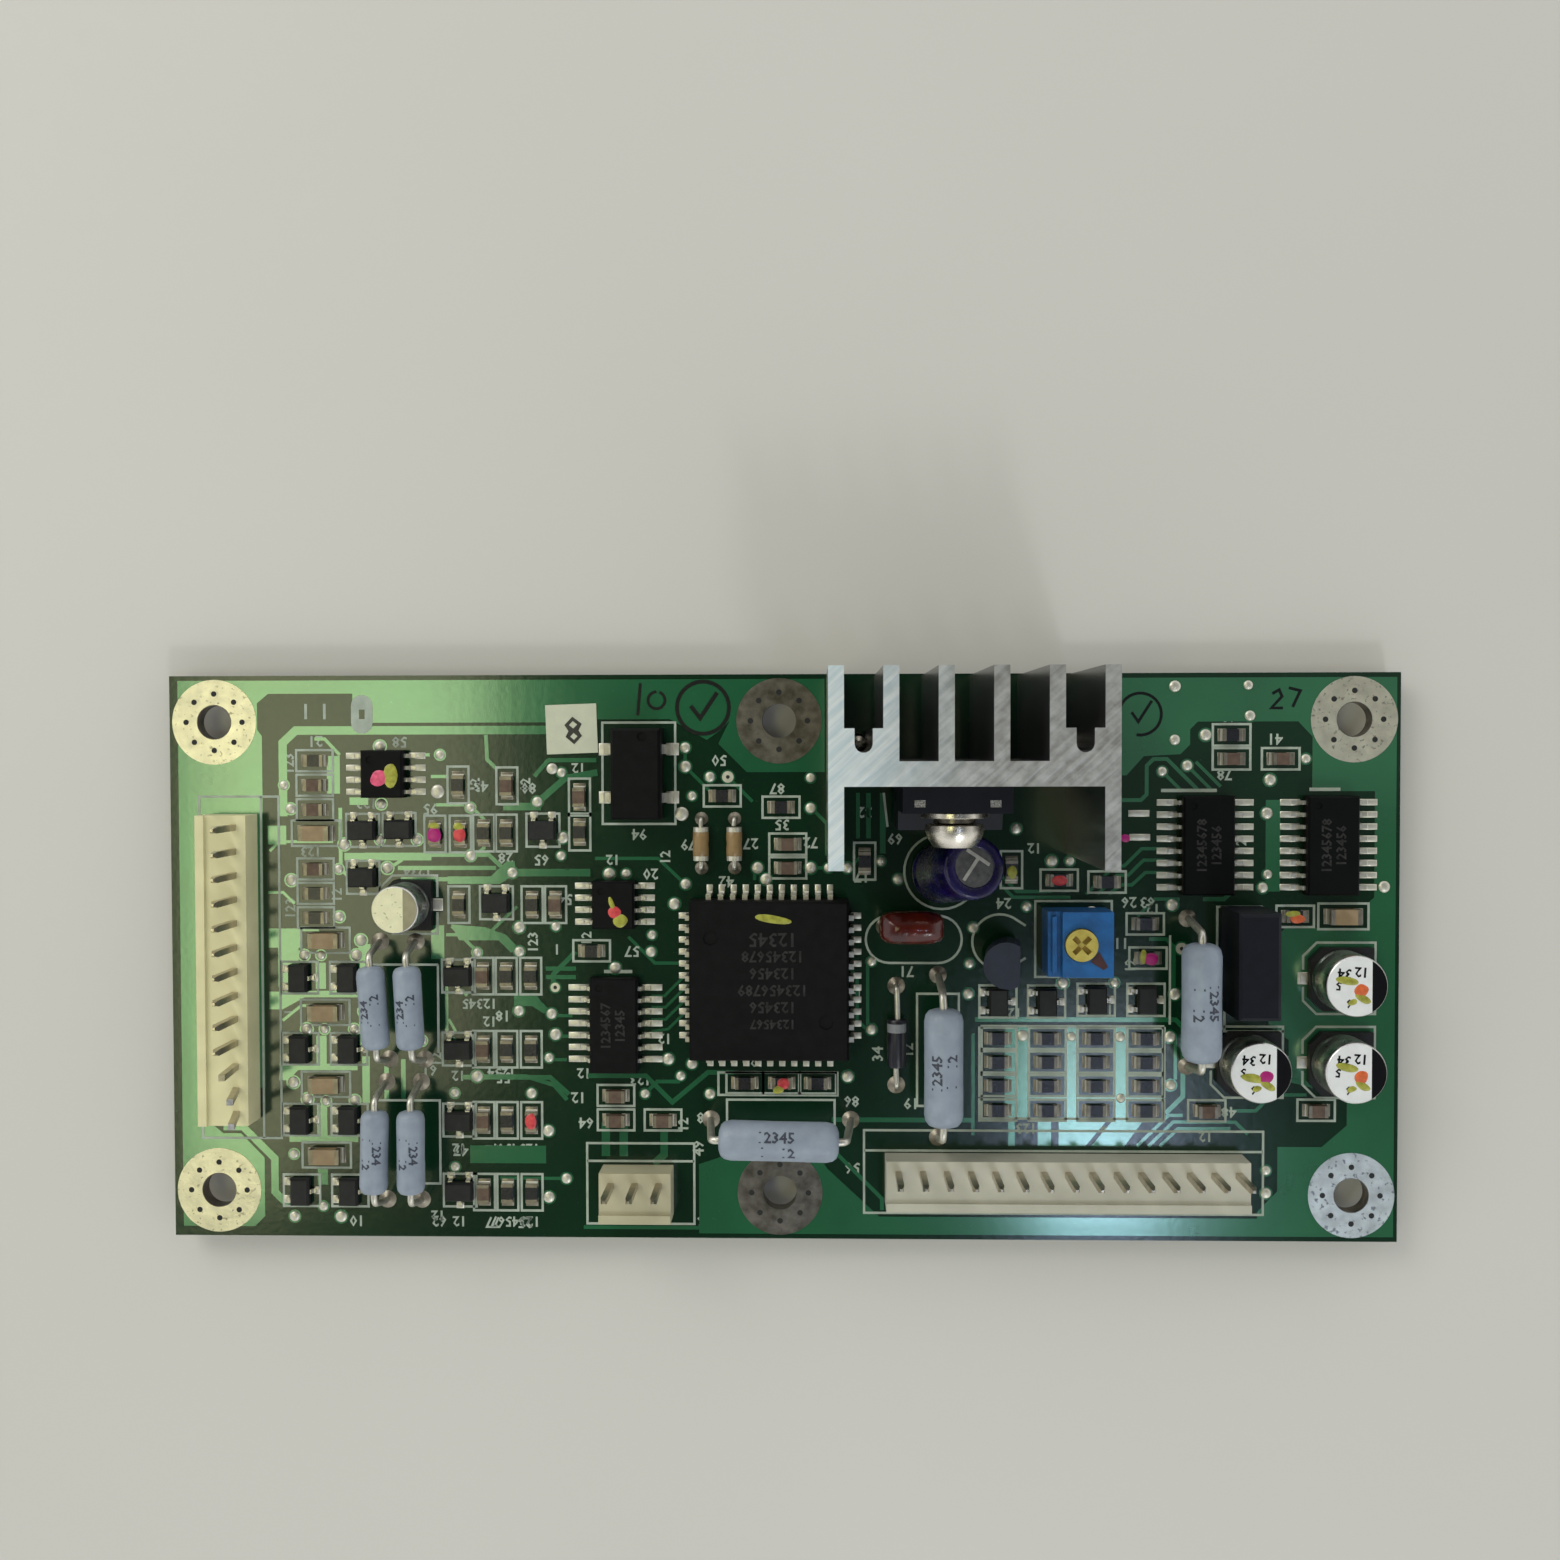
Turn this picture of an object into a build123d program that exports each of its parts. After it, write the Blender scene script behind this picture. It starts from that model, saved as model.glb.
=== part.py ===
from build123d import *
import os

os.makedirs("parts", exist_ok=True)

# A populated control board, lying flat with its component side up (+Z).
# Origin: centre of the mounting-hole pattern, on the underside of the board.
# +X runs along the long edge, +Y towards the edge that the heat sink's fins reach.

# ---------------------------------------------------------------- board
board_length = 129.6
board_width = 59.8
board_thickness = 1.6
hole_spacing_x = 60.0          # three columns of mounting holes
hole_spacing_y = 50.0          # two rows
mounting_hole = 3.7
lead_play = 0.15               # from a lead to the wall of its hole
lead_tail = 1.3                # how far a lead stands below the board
board_top = board_thickness

round_sides = 14               # small round pieces are prisms with this many sides

# ---------------------------------------------------------------- pin headers
pin_pitch = 2.5
pin_side = 0.64
pin_height = 9.0               # tip above the board
pin_point = 0.6                # length of the chamfered tip
header_depth = 5.2
header_height = 3.4
header_row = 1.3               # inner face to the row of pins
header_rim = 0.9
header_rim_rise = 0.35
left_header_ways, left_header_x, left_header_y = 13, -55.5, -1.0
front_header_ways, front_header_x, front_header_y = 15, 29.85, -20.7
side_header_ways, side_header_x, side_header_y = 3, -15.05, -22.1
bent_pin_leans = (16.0, 15.0, 7.0)   # towards +X: the left header's last pins, from its lower end

# ---------------------------------------------------------------- heat sink and regulator
sink_height = 22.0
fin_pitch = 5.0
fin_count = 6
fin_thickness = 1.45
fin_first_x = 5.7
fin_end_y = 29.7
bar_front_y = 18.7
bar_thickness = 2.3
leg_end_y = 11.05
screw_slot = 1.65
screw_block_end_y = 24.0
sink_screw_y = 22.6
sink_screw_play = 0.05
sink_screw_reach = 7.0         # into the slot of the extrusion
sink_screw_head = 4.6
sink_screw_head_height = 1.5
regulator_x = 17.0
regulator_width = 10.2
regulator_body = 15.8          # height of the moulding
regulator_thickness = 4.6      # lower half
regulator_tab = 2.6            # upper half, under the screw
regulator_tab_height = 7.4
regulator_lift = 3.2           # board to the moulding
regulator_screw_drop = 3.4     # top of the moulding to the screw
regulator_lead = 0.8
regulator_lead_pitch = 2.54
regulator_screw = 3.0
regulator_screw_play = 0.1
pan_head = 5.6
pan_head_height = 2.1
washer_width = 6.4
washer_thickness = 0.5
spring_washer_width = 5.0
spring_washer_thickness = 0.7

# ---------------------------------------------------------------- surface-mounted packages
foot_thickness = 0.2
stand_off = 0.1                # board to the underside of a moulding
plcc_x, plcc_y = -1.0, -1.9
plcc_side = 16.5
plcc_height = 4.2
plcc_stand_off = 0.6
plcc_leads = 11
so_pitch = 1.27
plcc_lead_width = 0.55
plcc_lead_bulge = 0.55
so_lead_width = 0.42
so_height = 1.9
so_lead_exit = 1.0
so16_width, so16_length, so16_span = 5.3, 10.3, 7.8
so14_width, so14_length, so14_span = 5.0, 10.0, 7.4
so8_width, so8_length, so8_span = 4.4, 5.0, 6.5
so16_places = [(44.6, 11.9), (57.4, 11.9)]
so14_places = [(-17.4, -7.0)]
so8_places = [(-41.7, 19.5), (-17.4, 5.7)]
coupler_x, coupler_y = -14.8, 19.5
coupler_width, coupler_length, coupler_height = 5.2, 9.5, 3.4
coupler_span = 7.3
coupler_lead_pitch = 5.08
coupler_lead_width = 1.0
coupler_lead_exit = 1.7
sot_width, sot_length, sot_height = 2.0, 2.9, 1.1
sot_span = 3.2
sot_lead_width = 0.45
sot_lead_pitch = 0.95
sot_lead_exit = 0.65
# three-lead transistors: (x, y, angle); at 0 degrees the single lead points to +X
sot_places = [(23.0, -4.6, 0), (28.1, -4.6, 0), (33.3, -4.4, 0), (38.5, -4.4, 0)]
for row_y in (-2.2, -9.8, -17.4, -25.0):
    sot_places += [(-51.1, row_y, 0), (-45.9, row_y, 0)]
sot_places += [(-44.2, 13.5, -90), (-40.3, 13.6, -90), (-44.2, 8.5, -90), (-25.0, 13.5, -90), (-30.0, 5.8, -90)]
sot_places += [(-34.1, row_y, -90) for row_y in (-2.0, -9.8, -17.4, -24.9)]

# ---------------------------------------------------------------- chip resistors and capacitors
chip_length, chip_width = 2.0, 1.25
chip_cap = 0.35                # metal end
chip_resistor_height = 0.55
chip_capacitor_height = 0.9
large_chip_length, large_chip_width, large_chip_height, large_chip_cap = 3.2, 1.6, 1.1, 0.45
# (x, y, angle) of each chip
chip_resistors = [
    (-49.3, 20.9, 0), (-49.3, 6.8, 0), (-49.3, 4.2, 0), (-6.0, 17.1, 0), (0.2, 15.9, 0), (-19.9, 0.7, 0),
    (-3.7, -13.3, 0), (0.2, -13.3, 0), (4.0, -13.3, 0), (29.4, 8.2, 0), (34.4, 8.0, 0), (47.3, 23.4, 0),
    (38.4, 3.6, 0), (38.7, 0.0, 0), (54.0, 4.4, 0), (-34.0, 18.3, 90), (-36.5, 13.1, 90),
    (-33.8, 13.1, 90), (-31.3, 13.2, 90), (-28.9, 13.2, 90), (-21.1, 13.3, 90), (-34.0, 5.6, 90),
    (-26.2, 5.6, 90), (9.0, 10.2, 90), (24.4, 9.3, 90)]
chip_resistors += [(x, y, 0) for x in (23.0, 28.2, 33.3, 38.5) for y in (-8.5, -11.0, -13.5, -16.1)]
chip_resistors += [(x, y, 90) for x in (-29.0, -26.4) for y in (-2.0, -9.8, -17.4, -25.1)]
chip_capacitors = [
    (-49.3, 18.3, 0), (-49.3, 15.7, 0), (-49.3, 9.4, 0), (0.9, 12.0, 0), (0.9, 9.5, 0), (-17.4, -14.7, 0),
    (-17.4, -17.3, 0), (-12.4, -17.3, 0), (47.3, 20.9, 0), (52.4, 20.9, 0), (44.9, -16.1, 0),
    (56.3, -16.0, 0), (-28.8, 18.2, 90), (-21.1, 17.0, 90), (-23.7, 5.6, 90)]
chip_capacitors += [(-31.5, y, 90) for y in (-2.0, -9.8, -17.4, -25.1)]
large_chips = [(-49.2, 13.2, 0), (-48.3, 1.8, 0), (-48.4, -5.9, 0), (-48.4, -13.6, 0), (-48.4, -21.2, 0),
               (59.0, 4.4, 0)]

# ---------------------------------------------------------------- wired parts
small_resistor_width, small_resistor_length = 2.9, 8.6
small_resistor_lift = 4.7      # board to the axis
small_resistor_span = 12.6     # between its two holes
small_resistor_wire = 0.7
# (x, y, angle): the axis lies along Y at 90 degrees
small_resistor_places = [(-42.0, -4.6, 94), (-38.2, -4.6, 94), (-41.9, -19.6, 90), (-38.2, -19.6, 90)]
large_resistor_width, large_resistor_length = 4.0, 12.0
large_resistor_wire = 0.8
# (x, y, angle, lift of the axis, span between the holes)
large_resistor_places = [(0.1, -17.2, 0, 8.7, 14.8), (16.7, -10.4, 90, 5.8, 17.2), (42.8, -3.6, 90, 6.5, 15.6)]
tubular_width, tubular_length = 1.7, 3.5
tubular_cap = 0.5
tubular_lift = 1.0
tubular_span = 5.2
tubular_wire = 0.5
tubular_places = [(-8.2, 12.1, 90), (-4.7, 12.1, 90)]
diode_width, diode_length = 2.0, 5.1
diode_band = 0.9
diode_lift = 1.2
diode_x, diode_y = 12.3, -8.8
diode_back_reach = 3.3         # body end to the hole behind it
diode_front_reach = 2.1
diode_wire = 0.6

can_height = 5.4
can_base_height = 1.0
can_rim = 0.35
can_base_margin = 0.15         # base beyond the can on each side
can_base_chamfer = 1.3
can_lead_width = 0.8
can_lead_reach = 0.75
small_can_width, small_can_x, small_can_y = 5.0, -39.4, 5.6
large_can_width = 6.3
large_can_places = [(58.6, -2.1), (58.6, -10.95), (49.05, -10.95)]

radial_width, radial_height = 6.3, 11.0
radial_x, radial_y = 16.8, 9.0
radial_lean_x, radial_lean_y = 13.5, 8.0   # towards +X and +Y
radial_wire = 0.5
radial_lead_pitch = 2.5
film_width, film_thickness, film_height = 6.5, 3.4, 6.4
film_x, film_y = 13.6, 3.3
film_lift = 1.2
film_lean = 8.0                # towards +Y
film_wire = 0.5
film_lead_pitch = 5.0
d_package_width, d_package_depth, d_package_height = 4.8, 3.7, 4.7
d_package_x, d_package_y = 23.8, 0.1
d_package_lift = 1.8
d_package_lean = -8.0
d_package_lead = 0.45
d_package_lead_pitch = 1.27
module_width, module_length, module_height = 4.2, 10.8, 7.5
module_x, module_y = 48.3, 0.1
module_lead_pitch = 7.5
module_lead = 0.6

# ---------------------------------------------------------------- trimmer
trimmer_x, trimmer_y = 30.9, 2.0
trimmer_width, trimmer_length, trimmer_height = 6.6, 6.7, 4.8
trimmer_step = 1.4             # lower step along its left side
trimmer_step_drop = 0.7
trimmer_ridge = 0.45
rotor_width = 3.3
rotor_rise = 0.45
rotor_depth = 1.4
rotor_play = 0.08
rotor_slot = 0.55
rotor_slot_length = 2.3
rotor_slot_depth = 0.4
trimmer_lead = 0.6

sticker_length, sticker_width, sticker_thickness = 5.4, 5.2, 0.12
sticker_x, sticker_y, sticker_angle = -21.9, 24.2, 2.0

# ---------------------------------------------------------------- helpers
UP = (Align.CENTER, Align.CENTER, Align.MIN)


def bent_lead(reach, lift, wire):
    """Wire along +X out of a body's end, turned down through the board."""
    with BuildPart() as lead:
        with BuildLine(Plane.XZ) as run:
            Polyline((0, board_top + lift), (reach, board_top + lift), (reach, -lead_tail))
        with BuildSketch(Plane(origin=(0, 0, board_top + lift), x_dir=(0, 1, 0), z_dir=(1, 0, 0))) as wire_end:
            Rectangle(wire * 0.9, wire * 0.9)
        sweep(transition=Transition.RIGHT)
    return lead.part


def gull_lead(reach, exit_height, width):
    """Gull-wing lead: leaves the body's side at the origin, its foot on the board."""
    t = foot_thickness
    with BuildPart() as lead:
        with BuildSketch(Plane.XZ) as side:
            Polygon((0, exit_height), (reach * 0.25, exit_height), (reach * 0.55, t), (reach, t), (reach, 0),
                    (reach * 0.4, 0), (0, exit_height - t), align=None)
        extrude(amount=width / 2, both=True)
    return lead.part


def dimple(radius, depth):
    """Shallow moulded mark, cut into the top of a body."""
    with BuildPart() as mark:
        with BuildSketch(Plane.XY) as outline:
            RegularPolygon(radius, 8)
        extrude(amount=depth / 2, both=True)
    return mark.part


def ends(x, y, angle, half):
    """The two end faces of a body on its own axis, each facing outwards."""
    here = Location((x, y, 0), (0, 0, angle))
    return [here * Location((half, 0, 0)), here * Location((-half, 0, 0), (0, 0, 180))]


def hole_points(x, y, angle, half):
    return [place.position for place in ends(x, y, angle, half)]


def two_sides(places, width, count, pitch):
    """Lead places down the left and right sides of packages."""
    spots = []
    for x, y in places:
        for i in range(count):
            along = (i - (count - 1) / 2) * pitch
            spots.append(Location((x + width / 2, y + along, board_top)))
            spots.append(Location((x - width / 2, y + along, board_top), (0, 0, 180)))
    return spots


def moulding(x, y, width, length, bottom, top, chamfer_size):
    """Moulded body whose upper rim is chamfered all round."""
    with Locations((x, y, board_top + bottom)):
        Box(width, length, top - bottom - chamfer_size, align=UP)
    with BuildSketch(Plane.XY.offset(board_top + top - chamfer_size)) as rim:
        with Locations((x, y)):
            Rectangle(width, length)
    extrude(rim.sketch, amount=chamfer_size, taper=35)


# ---------------------------------------------------------------- where the leads go through the board
header_rows = [
    # ways, x and y of the row's middle, direction of the row, towards the outer edge
    (left_header_ways, left_header_x - header_row, left_header_y, 90),
    (front_header_ways, front_header_x, front_header_y - header_row, 0),
    (side_header_ways, side_header_x, side_header_y - header_row, 0)]


def row_points(ways, x, y, angle):
    steps = [(i - (ways - 1) / 2) * pin_pitch for i in range(ways)]
    return [(x, y + s) for s in steps] if angle else [(x + s, y) for s in steps]


pin_holes = [point for row in header_rows for point in row_points(*row)]

wire_holes = []                # (x, y, wire)
for x, y, angle in small_resistor_places:
    wire_holes += [(p.X, p.Y, small_resistor_wire) for p in hole_points(x, y, angle, small_resistor_span / 2)]
for x, y, angle, lift, span in large_resistor_places:
    wire_holes += [(p.X, p.Y, large_resistor_wire) for p in hole_points(x, y, angle, span / 2)]
for x, y, angle in tubular_places:
    wire_holes += [(p.X, p.Y, tubular_wire) for p in hole_points(x, y, angle, tubular_span / 2)]
diode_holes = [(diode_x, diode_y + diode_length / 2 + diode_back_reach),
               (diode_x, diode_y - diode_length / 2 - diode_front_reach)]
wire_holes += [(x, y, diode_wire) for x, y in diode_holes]
radial_holes = [(radial_x + s * radial_lead_pitch / 2, radial_y) for s in (-1, 1)]
wire_holes += [(x, y, radial_wire) for x, y in radial_holes]
film_holes = [(film_x + s * film_lead_pitch / 2, film_y) for s in (-1, 1)]
wire_holes += [(x, y, film_wire) for x, y in film_holes]

regulator_y = bar_front_y - regulator_tab / 2
regulator_holes = [(regulator_x + s * regulator_lead_pitch, regulator_y) for s in (-1, 0, 1)]
d_package_holes = [(d_package_x, d_package_y + s * d_package_lead_pitch) for s in (-1, 0, 1)]
module_holes = [(module_x, module_y + s * module_lead_pitch / 2) for s in (-1, 1)]
trimmer_holes = [(trimmer_x + 1.9, trimmer_y - 2.5), (trimmer_x + 1.9, trimmer_y + 2.5), (trimmer_x - 1.9, trimmer_y)]
sink_screws = [(fin_first_x + fin_pitch / 2, sink_screw_y), (fin_first_x + fin_pitch * 4.5, sink_screw_y)]
sink_screw_shank = screw_slot - 2 * sink_screw_play

# ---------------------------------------------------------------- circuit board
with BuildPart() as circuit_board:
    Box(board_length, board_width, board_thickness, align=UP)
    with BuildSketch(Plane.XY) as round_holes:
        with Locations(*[(x * hole_spacing_x, y * hole_spacing_y / 2) for x in (-1, 0, 1) for y in (-1, 1)]):
            Circle(mounting_hole / 2)
        with Locations(*sink_screws):
            RegularPolygon(sink_screw_shank / 2 + 2 * lead_play, 12)
    extrude(amount=board_thickness, mode=Mode.SUBTRACT)
    with BuildSketch(Plane.XY) as square_holes:
        for points, side in ((pin_holes, pin_side), (regulator_holes, regulator_lead), (d_package_holes, d_package_lead),
                             (module_holes, module_lead), (trimmer_holes, trimmer_lead)):
            with Locations(*points):
                Rectangle(side + 2 * lead_play, side + 2 * lead_play)
        for x, y, wire in wire_holes:
            with Locations((x, y)):
                Rectangle(wire + 2 * lead_play, wire + 2 * lead_play)
    extrude(amount=board_thickness, mode=Mode.SUBTRACT)
circuit_board.part.label = "circuit_board"
export_step(circuit_board.part, "parts/circuit_board.step")


# ---------------------------------------------------------------- pin headers
def header_base(ways, x, y, outward):
    """Base moulding; x, y is the middle of its inner face and outward the way to the board's edge."""
    length = ways * pin_pitch
    along_x = outward == "front"
    with BuildPart() as base:
        with BuildSketch(Plane.YZ if along_x else Plane.XZ) as profile:
            # profile from the inner face (0) to the outer face, heights from the board
            Polygon((0, 0), (0, header_height), (header_depth - header_rim, header_height),
                    (header_depth - header_rim, header_height + header_rim_rise),
                    (header_depth, header_height + header_rim_rise), (header_depth, 0), align=None)
        extrude(amount=length / 2, both=True)
    turn = Location((x, y, board_top), (0, 0, 180))
    return base.part, turn, along_x


def header_pair(ways, row_x, row_y, row_angle, name, leaning):
    inner_x = row_x + header_row if row_angle else row_x
    inner_y = row_y if row_angle else row_y + header_row
    shape, turn, along_x = header_base(ways, inner_x, inner_y, "left" if row_angle else "front")
    points = row_points(ways, row_x, row_y, row_angle)
    with BuildPart() as base:
        with Locations(turn):
            add(shape)
        with Locations(*[(px, py, board_top) for px, py in points]):
            Box(pin_side, pin_side, header_height, align=UP, mode=Mode.SUBTRACT)
    with BuildPart() as pins:
        for i, (px, py) in enumerate(points):
            if leaning and i < len(bent_pin_leans):
                with Locations((px, py, -lead_tail)):
                    Box(pin_side, pin_side, lead_tail + board_top + header_height, align=UP)
                with Locations(Location((px, py, board_top + header_height - 0.1), (0, bent_pin_leans[i], 0))):
                    Box(pin_side * 0.98, pin_side, pin_height - header_height, align=UP)
            else:
                with Locations((px, py, -lead_tail)):
                    Box(pin_side, pin_side, lead_tail + board_top + pin_height - pin_point, align=UP)
                with BuildSketch(Plane.XY.offset(board_top + pin_height - pin_point)) as tip:
                    with Locations((px, py)):
                        Rectangle(pin_side, pin_side)
                extrude(amount=pin_point, taper=18)
    base.part.label = name + "_base"
    pins.part.label = name + "_pins"
    export_step(base.part, "parts/" + name + "_base.step")
    export_step(pins.part, "parts/" + name + "_pins.step")


for row, name, leaning in zip(header_rows, ("left_header", "front_header", "side_header"), (True, False, False)):
    header_pair(*row, name, leaning)

# ---------------------------------------------------------------- heat sink
sink_left = fin_first_x - fin_thickness / 2
sink_right = fin_first_x + fin_pitch * (fin_count - 1) + fin_thickness / 2
bar_back_y = bar_front_y + bar_thickness
sink_bottom = board_top
regulator_top = board_top + regulator_lift + regulator_body
regulator_screw_z = regulator_top - regulator_screw_drop
with BuildPart() as screw_bore:
    with BuildSketch(Plane.XY) as bore_outline:
        RegularPolygon(regulator_screw / 2, round_sides)
    extrude(amount=bar_thickness * 2, both=True)
with BuildPart() as heat_sink:
    with BuildSketch(Plane.XY.offset(sink_bottom)) as profile:
        with Locations(((sink_left + sink_right) / 2, bar_front_y + bar_thickness / 2)):
            Rectangle(sink_right - sink_left, bar_thickness)
        for i in range(fin_count):
            x = fin_first_x + i * fin_pitch
            low = leg_end_y if i in (0, fin_count - 1) else bar_front_y + 0.5
            with Locations((x, (low + fin_end_y) / 2)):
                Rectangle(fin_thickness, fin_end_y - low)
        for x, y in sink_screws:
            with Locations((x, (bar_back_y + screw_block_end_y) / 2)):
                Rectangle(fin_pitch - fin_thickness, screw_block_end_y - bar_back_y)
        for x, y in sink_screws:
            with Locations((x, y)):
                RegularPolygon(screw_slot / 2, round_sides, mode=Mode.SUBTRACT)
            with Locations((x, (y + screw_block_end_y) / 2)):
                Rectangle(screw_slot, screw_block_end_y - y, mode=Mode.SUBTRACT)
    extrude(amount=sink_height)
    with Locations(Location((regulator_x, bar_front_y + bar_thickness / 2, regulator_screw_z), (90, 0, 0))):
        add(screw_bore.part, mode=Mode.SUBTRACT)
heat_sink.part.label = "heat_sink"
export_step(heat_sink.part, "parts/heat_sink.step")

with BuildPart() as heat_sink_screws:
    with BuildSketch(Plane.XY) as heads:
        with Locations(*sink_screws):
            RegularPolygon(sink_screw_head / 2, round_sides)
    extrude(amount=-sink_screw_head_height)
    with BuildSketch(Plane.XY) as shanks:
        with Locations(*sink_screws):
            RegularPolygon(sink_screw_shank / 2, round_sides)
    extrude(amount=board_top + sink_screw_reach)
heat_sink_screws.part.label = "heat_sink_screws"
export_step(heat_sink_screws.part, "parts/heat_sink_screws.step")

# ---------------------------------------------------------------- regulator, its screw and washers
with BuildPart() as regulator_body_part:
    with BuildSketch(Plane.YZ.offset(regulator_x)) as side:
        low, high = board_top + regulator_lift, regulator_top
        step = high - regulator_tab_height
        Polygon((bar_front_y, low), (bar_front_y, high), (bar_front_y - regulator_tab, high),
                (bar_front_y - regulator_tab, step), (bar_front_y - regulator_thickness, step - 1.0),
                (bar_front_y - regulator_thickness, low), align=None)
    extrude(amount=regulator_width / 2, both=True)
    with BuildSketch(Plane(origin=(regulator_x, bar_front_y + 1, regulator_screw_z), x_dir=(1, 0, 0),
                           z_dir=(0, -1, 0))) as tab_hole:
        RegularPolygon(regulator_screw / 2 + regulator_screw_play, round_sides)
    extrude(amount=regulator_tab * 2, mode=Mode.SUBTRACT)
regulator_body_part.part.label = "regulator_body"
export_step(regulator_body_part.part, "parts/regulator_body.step")

with BuildPart() as regulator_leads:
    with Locations(*[(x, y, -lead_tail) for x, y in regulator_holes]):
        Box(regulator_lead, regulator_lead, lead_tail + board_top + regulator_lift, align=UP)
regulator_leads.part.label = "regulator_leads"
export_step(regulator_leads.part, "parts/regulator_leads.step")

tab_face_y = bar_front_y - regulator_tab
spring_face_y = tab_face_y - washer_thickness
head_face_y = spring_face_y - spring_washer_thickness
with BuildPart() as regulator_washers:
    for face, width, thickness in ((tab_face_y, washer_width, washer_thickness),
                                   (spring_face_y, spring_washer_width, spring_washer_thickness)):
        with BuildSketch(Plane(origin=(regulator_x, face, regulator_screw_z), x_dir=(1, 0, 0),
                               z_dir=(0, -1, 0))) as ring:
            RegularPolygon(width / 2, round_sides)
            RegularPolygon(regulator_screw / 2 + regulator_screw_play, round_sides, mode=Mode.SUBTRACT)
        extrude(amount=thickness)
regulator_washers.part.label = "regulator_washers"
export_step(regulator_washers.part, "parts/regulator_washers.step")

with BuildPart() as regulator_screw_part:
    with BuildSketch(Plane(origin=(regulator_x, bar_back_y, regulator_screw_z), x_dir=(1, 0, 0),
                           z_dir=(0, -1, 0))) as shank:
        RegularPolygon(regulator_screw / 2, round_sides)
    extrude(amount=bar_back_y - head_face_y)
    with BuildSketch(Plane(origin=(regulator_x, head_face_y, regulator_screw_z), x_dir=(1, 0, 0),
                           z_dir=(0, -1, 0))) as head:
        RegularPolygon(pan_head / 2, round_sides)
    extrude(amount=pan_head_height * 0.45)
    with BuildSketch(Plane(origin=(regulator_x, head_face_y - pan_head_height * 0.45, regulator_screw_z),
                           x_dir=(1, 0, 0), z_dir=(0, -1, 0))) as crown:
        RegularPolygon(pan_head / 2, round_sides)
    extrude(amount=pan_head_height * 0.55, taper=34)
    with Locations(Location((regulator_x, head_face_y - pan_head_height, regulator_screw_z), (90, 45, 0))):
        Box(pan_head * 0.62, 0.7, 2 * 0.8, mode=Mode.SUBTRACT)
        Box(0.7, pan_head * 0.62, 2 * 0.8, mode=Mode.SUBTRACT)
regulator_screw_part.part.label = "regulator_screw"
export_step(regulator_screw_part.part, "parts/regulator_screw.step")

# ---------------------------------------------------------------- large square chip, J leads on four sides
with BuildPart() as plcc_body:
    moulding(plcc_x, plcc_y, plcc_side, plcc_side, plcc_stand_off, plcc_height, 0.35)
    with Locations((plcc_x - 6.0, plcc_y + 4.5, board_top + plcc_height), (plcc_x + 5.9, plcc_y - 4.2, board_top + plcc_height)):
        add(dimple(0.8, 0.3), mode=Mode.SUBTRACT)
plcc_body.part.label = "square_chip_body"
export_step(plcc_body.part, "parts/square_chip_body.step")

with BuildPart() as j_lead:
    with BuildSketch(Plane.XZ) as side:
        bulge, exit_z, t = plcc_lead_bulge, plcc_height * 0.55, foot_thickness
        Polygon((0, exit_z), (bulge, exit_z), (bulge, 0), (bulge - 2 * t, 0), (bulge - t, exit_z - t),
                (0, exit_z - t), align=None)
    extrude(amount=plcc_lead_width / 2, both=True)
with BuildPart() as plcc_leads_part:
    spots = []
    for turn in (0, 90, 180, 270):
        for i in range(plcc_leads):
            side = Location((plcc_x, plcc_y, board_top), (0, 0, turn))
            spots.append(side * Location((plcc_side / 2, (i - (plcc_leads - 1) / 2) * so_pitch, 0)))
    with Locations(*spots):
        add(j_lead.part)
plcc_leads_part.part.label = "square_chip_leads"
export_step(plcc_leads_part.part, "parts/square_chip_leads.step")

# ---------------------------------------------------------------- two-row packages
for name, places, width, length, span, count in (
        ("sixteen_pin_chip", so16_places, so16_width, so16_length, so16_span, 8),
        ("fourteen_pin_chip", so14_places, so14_width, so14_length, so14_span, 7),
        ("eight_pin_chip", so8_places, so8_width, so8_length, so8_span, 4)):
    with BuildPart() as bodies:
        for x, y in places:
            moulding(x, y, width, length, stand_off, so_height, 0.25)
        with Locations(*[(x - width / 2 + 1.0, y + length / 2 - 1.0, board_top + so_height) for x, y in places]):
            add(dimple(0.4, 0.2), mode=Mode.SUBTRACT)
    lead = gull_lead((span - width) / 2, so_lead_exit, so_lead_width)
    with BuildPart() as leads:
        with Locations(*two_sides(places, width, count, so_pitch)):
            add(lead)
    bodies.part.label = name + "_bodies"
    leads.part.label = name + "_leads"
    export_step(bodies.part, "parts/" + name + "_bodies.step")
    export_step(leads.part, "parts/" + name + "_leads.step")

with BuildPart() as coupler_body:
    moulding(coupler_x, coupler_y, coupler_width, coupler_length, stand_off, coupler_height, 0.4)
    with Locations((coupler_x + 0.7, coupler_y + coupler_length / 2 - 0.9, board_top + coupler_height)):
        add(dimple(0.5, 0.3), mode=Mode.SUBTRACT)
coupler_body.part.label = "coupler_body"
export_step(coupler_body.part, "parts/coupler_body.step")
coupler_lead = gull_lead((coupler_span - coupler_width) / 2, coupler_lead_exit, coupler_lead_width)
with BuildPart() as coupler_leads:
    with Locations(*two_sides([(coupler_x, coupler_y)], coupler_width, 2, coupler_lead_pitch)):
        add(coupler_lead)
coupler_leads.part.label = "coupler_leads"
export_step(coupler_leads.part, "parts/coupler_leads.step")

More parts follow.
